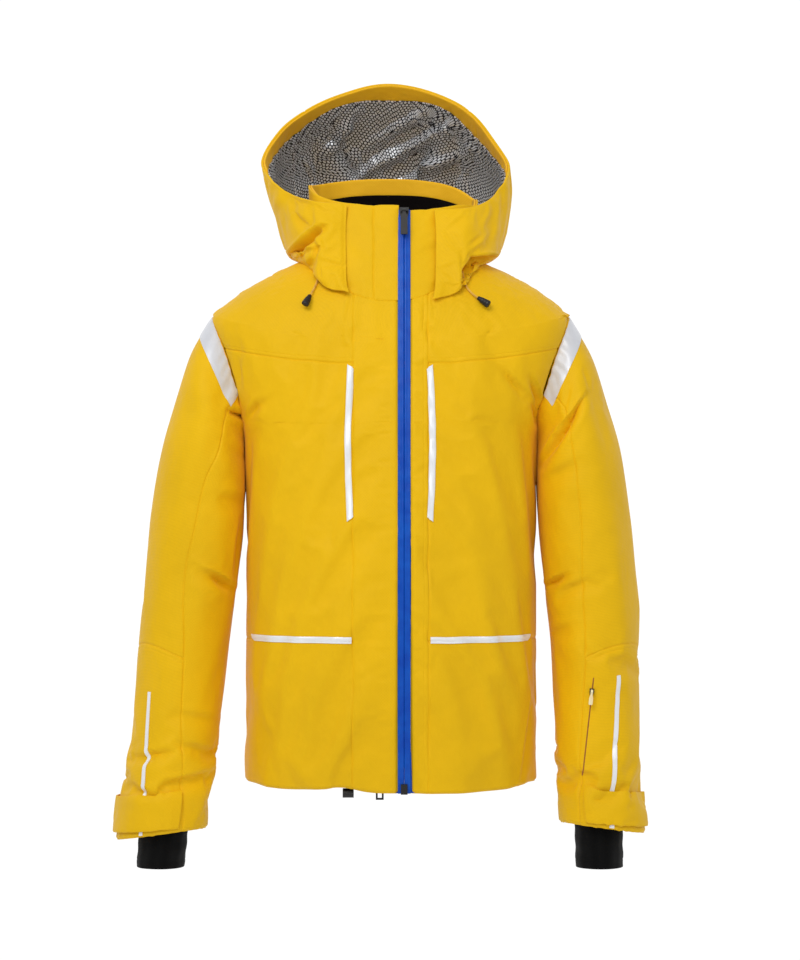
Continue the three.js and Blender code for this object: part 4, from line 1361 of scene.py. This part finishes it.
def welts(name, tree):
    side = SIDES[name]
    t = np.linspace(0, 1, 70)[:, None]
    s = np.linspace(0, 1, 7)[None]
    chest, hand = CHEST_WELT, HAND_WELT
    slant = chest["slant"] * (s - 0.5) * np.where(t > 0.5, 1, -1)
    chest_z = chest["bottom"] + (chest["top"] - chest["bottom"]) * t + slant * np.abs(2 * t - 1)**9
    chest_x = side * (chest["inner"][name] + chest["bow"] * np.sin(np.pi * t) + chest["width"] * s)
    hand_z = hand["bottom"] + (hand["top"] - hand["bottom"]) * s + 0 * t
    lean = hand["slant"] * (s - 0.5) * t**8
    hand_x = side * (hand["inner"] + (hand["outer"] - hand["inner"]) * t + lean)
    for node, xs, zs, above in ((f"chest_welt_{name}", chest_x, chest_z, chest["above"]),
                                (f"pocket_welt_{name}", hand_x, hand_z, hand["above"])):
        obj = flat_strip(node + "_tape", tree, xs, zs, above, TAPE)
        put_on(obj, "jacket", "reflective_tape", node)


# ---------------------------------------------------------------- sleeves
SPLIT_RING = 4.2
SPLIT_GAP = 0.03
SPLIT_CLEAR = 0.4
SLEEVE_STEP = 0.55
DART_RING = 6.15
DART_RISE = 2.3  # rows that the dart seam climbs
DART_REACH = 12  # rows over which the cloth's grid is slanted with it
DART_LENGTH = 0.31  # of the way round the sleeve
CUFF_STITCH = {"at": 20, "depth": 0.5, "width": 0.8}
SLEEVE_FILL = 0.35
# A joint that the cloth sits across: the two bodies, the point where it would start to follow the
# second one, and the point from which it would follow that wholly. The cloth is not bent, and these
# points are not read.
SHOULDER_BEND = {
    name: ("jacket", f"{name}_upper_arm", (side * 210, -85, -210), (side * 285, -85, -255))
    for name, side in SIDES.items()
}
ELBOW_BEND = {
    name: (f"{name}_upper_arm", f"{name}_forearm", (side * 258, -95, -410), (side * 262, -98, -545))
    for name, side in SIDES.items()
}


def sleeve_pieces(name):
    """The upper and the lower sleeve, of which the lower one is given back."""
    sheet = SLEEVES[name]
    split, dart = float(ring_row(SPLIT_RING)), float(ring_row(DART_RING))
    rows = dense(SLEEVE_ROWS, SLEEVE_STEP, [0, dart, SLEEVE_ROWS], TORSO_PITCH)
    rows = rows[np.abs(rows - split) > SPLIT_CLEAR]
    rows = np.sort(np.concatenate([rows, [split - SPLIT_GAP, split, split + SPLIT_GAP]]))
    cols = dense(SLEEVE_COLUMNS, SLEEVE_STEP, [0, SLEEVE_COLUMNS], TORSO_PITCH)[:-1]
    # the cloth's grid is slanted along the dart
    share = np.clip(1 - cols / SLEEVE_COLUMNS, 0, DART_LENGTH) / DART_LENGTH
    climb = DART_RISE * np.sin(np.pi * share)[None] * bell(rows[:, None] - dart, DART_REACH)
    climb *= ramp(rows[:, None], split + 1, split + 7)
    slanted = rows[:, None] - climb, np.broadcast_to(cols[None], climb.shape)
    grid = sheet.anywhere(*slanted, 0 * climb)
    u, v = arc_lengths(np.concatenate([grid, grid[:, :1]], 1))
    around, from_seam = u[:, -1:] - u[:, :1], u[:, :-1] - u[:, :1]
    signed = np.where(from_seam > around / 2, from_seam - around, from_seam)
    down = v[:, :-1]
    to_cuff = down[-1:] - down
    heights = seam_height(signed) + armhole_height(down)
    in_dart = (share > 0) & (share < 1)
    heights += in_dart * seam_height(down - down[nearest(rows, dart)][None], stitched=1)
    heights += edge_roll(to_cuff) + stitch_height(to_cuff, **CUFF_STITCH)
    outer = sheet.anywhere(*slanted, heights)
    # the cloth thins out towards the armhole
    inner = sheet.anywhere(*slanted, -SHELL * (1 - 0.8 * bell(down, 5)))
    cut_row = nearest(rows, split)
    parts = (
        ("upper", SHOULDER_BEND[name], np.s_[:cut_row + 1], ("sleeve_cap", "upper_sleeve")),
        ("lower", ELBOW_BEND[name], np.s_[cut_row:], ("elbow_panel", "forearm_sleeve")),
    )
    for part, bend, window, nodes in parts:
        obj = slab_piece(f"sleeve_{part}_{name}_cloth", outer[window], inner[window], SHELL_CLOTH,
                         closed=True, uv=(u[window], v[window]))
        put_on(obj, bend, "shell", *(f"{node}_{name}" for node in nodes), fill=SLEEVE_FILL)
    return obj


def sleeve_patch(name, node, angles, rings, above, material, body, slot, size=(60, 7),
                 round_edge=0.0, lift=None, turn=0.0, taper=0.0, fill=None):
    """A strip on a sleeve. angles and rings are (from, to); size is points round and along.

    turn is how many degrees it goes round on its way down, and taper how much it narrows.
    """
    top, low = above
    s = np.linspace(0, 1, size[0])[None]
    t = np.linspace(-1, 1, size[1])[:, None]
    ring = (rings[0] + rings[1]) / 2 + (rings[1] - rings[0]) / 2 * t * (1 - taper * s)
    angle = angles[0] + (angles[1] - angles[0]) * s + turn * (t + 1) / 2
    cols = (angle - catmull(LONG_SEAM[name], ring)) * SLEEVE_COLUMNS / 360
    rise = lift(s) if lift else 0 * s
    outer = SLEEVES[name].anywhere(ring_row(ring), cols, top - 0.4 * t**4 + rise)
    inner = SLEEVES[name].anywhere(ring_row(ring), cols, low + rise + 0 * t)
    if angles[1] < angles[0]:
        outer, inner = outer[:, ::-1], inner[:, ::-1]
    obj = slab_piece(f"{node}_{name}_piece", outer, inner, material, round_edge=round_edge)
    put_on(obj, body, slot, f"{node}_{name}", fill=fill)


# Where each forearm stripe starts, and the degrees that it turns forward down to the cuff.
FOREARM_STRIPE = {
    "right": {"angles": (49, 54), "start": 6.64, "turn": 15},
    "left": {"angles": (58, 64), "start": 6.45, "turn": 20},
}
TAB_LIFT = {"right": 4, "left": 1}  # how far the free end of the cuff tab stands off


def sleeve_trims(name):
    forearm = f"{name}_forearm"
    sleeve_patch(name, "shoulder_stripe", (118, -118), (0.08, 0.6), (1.9, 0.6), STRIPE,
                 SHOULDER_BEND[name], "reflective_tape", size=(120, 13))
    stripe = FOREARM_STRIPE[name]
    sleeve_patch(name, "forearm_stripe", stripe["angles"], (stripe["start"], 8.96), (1.7, 0.5),
                 TAPE, forearm, "reflective_tape", size=(7, 100), turn=stripe["turn"])
    sleeve_patch(name, "hook_patch", (12, -20), (8.38, 8.76), (1.9, 0.7), HOOK, forearm,
                 "stretch_black", size=(24, 14))

    def lift(s):
        return TAB_LIFT[name] * ramp(s, 0.72, 1) ** 1.6 + 0.4 * np.sin(7 * s) * (1 - s)

    sleeve_patch(name, "cuff_tab", (112.5, -22.5), (8.24, 8.87), (4.6, 2.5), SHELL_CLOTH,
                 f"{name}_cuff_tab", "shell", size=(60, 18), round_edge=1.0, lift=lift, taper=0.22,
                 fill=0.2)


# The zip of the sleeve pocket, in X and Z on the wearer's left forearm.
POCKET_ZIP = {"top": (259.5, -565), "bottom": (245, -690), "half_width": 1.1, "above": (0.4, -0.8)}


def pocket_zip(lower_sleeve):
    """A brown coil that shows in the slit of the sleeve pocket, under its slider."""
    t = np.linspace(0, 1, 90)[:, None]
    s = np.linspace(-1, 1, 5)[None]
    (x0, z0), (x1, z1) = POCKET_ZIP["top"], POCKET_ZIP["bottom"]
    xs = x0 + (x1 - x0) * t + POCKET_ZIP["half_width"] * s
    zs = z0 + (z1 - z0) * t + 0 * s
    obj = flat_strip("sleeve_pocket_coil", surface_tree([lower_sleeve]), xs, zs,
                     POCKET_ZIP["above"], POCKET_COIL)
    put_on(obj, "left_forearm", "hardware")


# Middle of each gaiter's upper ring in X, and how far its lower ring is from it.
GAITER_X = {"right": (-289, -7.5), "left": (267.5, 0.5)}
GAITER_TOP = (-131, -722)
GAITER_RUN = (-13, -86)
GAITER_RADII = (32, 38)


def gaiter_piece(name):
    """A stretch tube that starts inside the cuff, with a bound end and soft ripples."""
    side = SIDES[name]
    t = np.linspace(0, 1, 60)[:, None]
    turn = np.linspace(0, 2 * np.pi, 96, endpoint=False)[None]
    ripple = 0.8 * np.sin(3 * turn + 9 * t + side) * np.sin(14 * t + 2 * np.cos(turn))
    x = GAITER_X[name][0] + GAITER_X[name][1] * t
    x = x + side * (GAITER_RADII[0] - 1.5 * t + ripple) * np.cos(turn)
    y = GAITER_TOP[0] + GAITER_RUN[0] * t - (GAITER_RADII[1] - 3 * t + ripple) * np.sin(turn)
    z = GAITER_TOP[1] + GAITER_RUN[1] * t + 0 * turn
    outer = np.stack([x, y, z], -1)
    middle = outer.mean(1, keepdims=True)
    inner = middle + (outer - middle) * 0.93
    outer = middle + (outer - middle) * (1 - 0.012 * bell(t - 0.9, 0.012))[..., None]
    obj = slab_piece(f"gaiter_{name}_knit", outer, inner, STRETCH, closed=True, round_edge=1.2)
    put_on(obj, f"{name}_forearm", "stretch_black", f"gaiter_{name}")


# ---------------------------------------------------------------- hood
HOOD_BEND = ("jacket", "hood", (0, 7.5, 6.6), (0, 82.5, 72.6))
HOOD_FILL = 0.25
# Heights of the outer and the inner face over the hood's sheet.
HOOD_SHELL = (0.0, -3.0)
LINING = (-6.5, -8.0)
BRIM = (-3.2, -6.0)
BRIM_WIDTHS = (0.18, 0.23, 0.18, 0.38, 0.36, 0.26, 0.26)  # in v, from u of -1 up
LINING_CRUMPLE = 5.0
LINING_SLANT = 0.55
CRUMPLE_SIZE = (60, 90, 34)


def rim_width(cols):
    """How much of v the facing of the hood takes: it is widest at the sides of the face."""
    return catmull(BRIM_WIDTHS, np.abs(hood_u(cols)) + 1)


def hood_part(name, us, vs, material, seams_u, seams_v, node, faces=HOOD_SHELL,
              slot="hood_fabric", extra=None, pitch=(6.5, 7.0), round_edge=1.2, inside=False):
    """One closed panel of the hood. us and vs are (from, to); inside ones follow the rim."""
    rows = dense(hood_row(vs[1]), 0.5, [hood_row(v) for v in seams_v], pitch[1],
                 start=hood_row(vs[0]))
    cols = dense(hood_column(us[1]), 0.5, [hood_column(u) for u in seams_u], pitch[0],
                 start=hood_column(us[0]))
    line = hood_row(BRIM_START)
    fade = np.interp(rows, (line - 14, line, HOOD_ROWS), (0, 1, 0))[:, None]
    moved = hood_row(HOOD_RIM - rim_width(cols)) - line if inside else 0 * cols
    places = rows[:, None] + fade * moved, np.broadcast_to(cols, (len(rows), len(cols)))
    grid = HOOD_SHEET.anywhere(*places, 0 * places[0])
    u, v = arc_lengths(grid)
    heights = np.zeros(u.shape) + faces[0]
    for seam in seams_u:
        c = nearest(cols, hood_column(seam))
        heights += seam_height(u - u[:, c:c + 1], stitched=1)
    for seam in seams_v:
        heights += seam_height(v - v[nearest(rows, hood_row(seam))][None])
    if extra is not None:
        heights += extra(grid, u, v)
    outer = HOOD_SHEET.anywhere(*places, heights)
    inner = HOOD_SHEET.anywhere(*places, np.full(heights.shape, faces[1]))
    obj = slab_piece(name, outer, inner, material, round_edge=round_edge)
    put_on(obj, HOOD_BEND, slot, node, fill=None if inside else HOOD_FILL)


def ridges(points, scale, seed):
    """Sharp-crested noise from 0 to 1 at points in millimetres."""
    flat = points.reshape(-1, 3)
    out = np.array([
        1 - abs(noise.noise(Vector((p[0] / scale[0] + seed, p[1] / scale[1], p[2] / scale[2]))))
        for p in flat
    ])
    return out.reshape(points.shape[:-1]) ** 3


def lining_folds(grid, u, v):
    """Creases pressed out into the hood, with small crumples between them."""
    slanted = grid.copy()
    slanted[..., 2] += grid[..., 0] * LINING_SLANT
    crumples = ridges(slanted, CRUMPLE_SIZE, 3.1) - 0.35
    away = np.zeros(grid.shape)
    away[..., 1] = 1
    creases = fold_shift(grid, away, FOLDS["lining"])
    return (creases - LINING_CRUMPLE * crumples) * ramp(v[-1:] - v, 0, 16)


def flush_end(grid, u, v):
    """The hood's right front thins out to lie flush on the collar."""
    return -2.2 * bell(u[:, -1:] - u, 3.5)


def hood_pieces():
    end, fold, side, neck = HOOD_END, HOOD_FOLD_LINE, HOOD_SIDE, HOOD_NECK
    hood_part("hood_crown_cloth", (-side, side), (neck, HOOD_RIM), HOOD_CLOTH, [-side, side],
              [neck], "hood_crown_panel")
    for name, sign in (("left", -1), ("right", 1)):
        inner, middle, outer = sign * side, sign * fold, sign * end
        hood_part(f"hood_side_{name}_cloth", sorted((inner, middle)), (neck, HOOD_RIM),
                  HOOD_CLOTH, [inner, middle], [neck], f"hood_side_panel_{name}")
        hood_part(f"hood_front_{name}_cloth", sorted((middle, outer)), (0.02, HOOD_RIM),
                  HOOD_CLOTH, [middle], [], f"hood_front_{name}",
                  extra=flush_end if name == "right" else None)
    hood_part("hood_neck_cloth", (-fold, fold), (0.05, neck), HOOD_CLOTH, [-fold, fold], [neck],
              "hood_neck_panel")
    hood_part("hood_lining_foil", (-fold, fold), (neck, BRIM_START), FOIL, [-side, side], [],
              "hood_lining", LINING, slot="silver_lining", extra=lining_folds, pitch=(9, 9),
              round_edge=0.0, inside=True)
    hood_part("hood_brim_cloth", (-fold, fold), (BRIM_START, HOOD_RIM), FACING_CLOTH_PAINTED_LIGHT, [], [],
              "hood_brim", BRIM, pitch=(7, 5), inside=True)


# ---------------------------------------------------------------- collar
# Heights of the outer and the inner face over the collar's sheet.
COLLAR_OUTSIDE = (0, -2.6)
COLLAR_INSIDE = (-3.0, -5.4)
COLLAR_SEAM = 0.966  # of the way round
FACING_START = 0.78


def collar_part(name, node, ts, faces, material, slot, seams=(), round_edge=1.2):
    rows = dense(ts[1] * COLLAR_ROWS, 0.5, [], 7, start=ts[0] * COLLAR_ROWS)
    cols = dense(COLLAR_COLUMNS, 0.6, [COLLAR_COLUMNS * s for s in seams], 5.6)
    u, _ = arc_lengths(COLLAR.at(rows, cols))
    heights = np.zeros(u.shape) + faces[0]
    for s in seams:
        c = nearest(cols, COLLAR_COLUMNS * s)
        heights += seam_height(u - u[:, c:c + 1], stitched=1)
    outer = COLLAR.at(rows, cols, heights)
    inner = COLLAR.at(rows, cols, np.full(heights.shape, faces[1]))
    obj = slab_piece(name, outer, inner, material, round_edge=round_edge)
    put_on(obj, "jacket", slot, node, fill=BODY_FILL)


def collar_pieces():
    collar_part("collar_shell_cloth", "collar_shell", (0, 1), COLLAR_OUTSIDE, SHELL_CLOTH,
                "shell", seams=(COLLAR_SEAM,))
    collar_part("collar_facing_cloth", "collar_facing", (FACING_START, 1), COLLAR_INSIDE,
                FACING_CLOTH_PAINTED_LIGHT, "shell")
    collar_part("collar_lining_fleece", "collar_lining", (0.03, FACING_START - 0.01),
                COLLAR_INSIDE, BLACK_FLEECE, "fleece", round_edge=0.5)


# ---------------------------------------------------------------- main zip
# Section of one half tape: how far it is from the zip's middle and how high it stands. The four
# lowest points are a wing that runs under the centre strip.
ZIP_PROFILE = [(0.04, -2.2), (0.04, -0.1), (0.5, 0.75), (1.3, 1.2), (2.4, 1.3), (3.4, 1.0),
               (4.0, 0.55), (4.6, 0.5), (6.4, 0.62), (7.6, 0.5), (8.0, 0.1), (8.0, -5.0),
               (13.0, -5.0), (13.0, -5.6), (7.2, -5.6), (7.0, -0.8), (4.0, -0.8), (3.2, -2.6),
               (1.2, -3.0)]
ZIP_RIPPLE = 0.12


def zip_tapes():
    """Two half tapes of glossy film over the coil, bent along the front arc."""
    across, heights = np.transpose(ZIP_PROFILE)
    zs = np.linspace(ZIP_BOTTOM_Z, ZIP_TOP_Z, 420)[:, None]
    turn = np.arcsin((zs - ZIP_CENTRE_Z) / ZIP_RADIUS)
    radius = ZIP_RADIUS + heights[None] + ZIP_RIPPLE * np.sin(zs / 3.1) * (heights > 0.4)
    for name, side in SIDES.items():
        grid = np.stack([ZIP_X + side * across + 0 * radius, ZIP_CENTRE_Y - radius * np.cos(turn),
                         ZIP_CENTRE_Z + radius * np.sin(turn)], -1)
        obj = tube_piece(f"zip_tape_{name}_film", grid, FILM)
        put_on(obj, "jacket", "zip_tape", f"zip_tape_{name}")


# ---------------------------------------------------------------- insides
BODY_LINING_CLEAR = 14  # from the middle of the zip to the lining
BODY_LINING_DEPTHS = (7, 9.5)
SKIRT_THICKNESS = 1.6
LOOP_HALF_WIDTH = 19.5
LOOP_Y = -6.4
LOOP_POINTS = 60
LOOP_SECTION = ((2.2, 0.6), (-2.2, 0.6), (-2.2, -0.6), (2.2, -0.6))


def body_lining():
    loops = np.linspace(0.25, 5, 60)[:, None]
    half = catmull(TORSO, loops)[..., 1]
    start = angle_at(ZIP_X + BODY_LINING_CLEAR, half)
    end = 360 + angle_at(ZIP_X - BODY_LINING_CLEAR, half)
    angles = start + (end - start) * np.linspace(0, 1, 150)[None]
    grid = torso(angles, loops)
    n = normals(grid)
    quilt = 0.8 * np.cos(loops * 6.5) ** 8 + 0.8 * np.cos(np.radians(angles * 7)) ** 12
    outer = grid - n * BODY_LINING_DEPTHS[0]
    inner = grid - n * (BODY_LINING_DEPTHS[1] - quilt)[..., None]
    obj = slab_piece("body_lining_cloth", outer, inner, INNER_CLOTH)
    put_on(obj, "jacket", "body_lining", "body_lining", fill=0.2)


def powder_skirt():
    t = np.linspace(0, 1, 24)[:, None]
    angles = np.linspace(12, 348, 180)[None]
    grid = torso(angles, 0.45 + 1.15 * t)
    n = normals(grid)
    gathers = 1.4 * np.sin(np.radians(angles) * 38) * (1 - t)
    outer = grid + n * ((-20 + 8 * t) + gathers)[..., None]
    obj = slab_piece("powder_skirt_cloth", outer, outer - n * SKIRT_THICKNESS, STRETCH,
                     round_edge=0.6)
    put_on(obj, "jacket", "stretch_black", "powder_skirt")


def hanger_loop():
    """A woven loop at the nape."""
    t = np.linspace(0, 1, LOOP_POINTS)
    x = np.interp(t, (0.25, 0.75), (-LOOP_HALF_WIDTH, LOOP_HALF_WIDTH))
    z = np.interp(t, (0, 0.25, 0.35, 0.65, 0.75, 1), (9.0, -1.5, -3.0, -3.0, -1.5, 9.0))
    path = np.stack([x, np.full(LOOP_POINTS, LOOP_Y), z], 1)
    step = np.gradient(path, axis=0)
    step /= np.linalg.norm(step, axis=1, keepdims=True)
    side_way = np.cross(step, [0, 1, 0])
    rings = [path + side_way * a + np.array([0, 1, 0]) * b for a, b in LOOP_SECTION]
    obj = tube_piece("hanger_loop_tape", np.stack(rings, 1), STRETCH)
    put_on(obj, "jacket", "stretch_black", "hanger_loop")


FINISHES = {
    "zip_retaining_box": MOULDED, "zip_slider": MOULDED, "zip_pull": MOULDED,
    "sleeve_zip_slider": MOULDED, "sleeve_zip_pull": PALE_PULL, "hem_cord_lock": MOULDED,
    "hem_pull_loop": MOULDED,
}
EDGE_BEVEL = 0.4


def hardware():
    """The moulded CAD parts keep their shape and get a finish with a painted highlight on their
    convex edges, and softened edges.
    """
    for node, material in FINISHES.items():
        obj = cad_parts[node]
        for material_slot in obj.material_slots:
            material_slot.link = "OBJECT"
            material_slot.material = material
        if not obj.material_slots:
            obj.data.materials.append(material)
        bevel = obj.modifiers.new("bevel", "BEVEL")
        bevel.width = EDGE_BEVEL * MM
        bevel.segments = 2
        bevel.limit_method = "ANGLE"


front_tree = surface_tree([panel for name in SIDES for panel in front_panels(name)])
back_panels()
for side_name in SIDES:
    welts(side_name, front_tree)
    lower_sleeve = sleeve_pieces(side_name)
    sleeve_trims(side_name)
    gaiter_piece(side_name)
pocket_zip(lower_sleeve)
hood_pieces()
collar_pieces()
zip_tapes()
body_lining()
powder_skirt()
hanger_loop()
hardware()
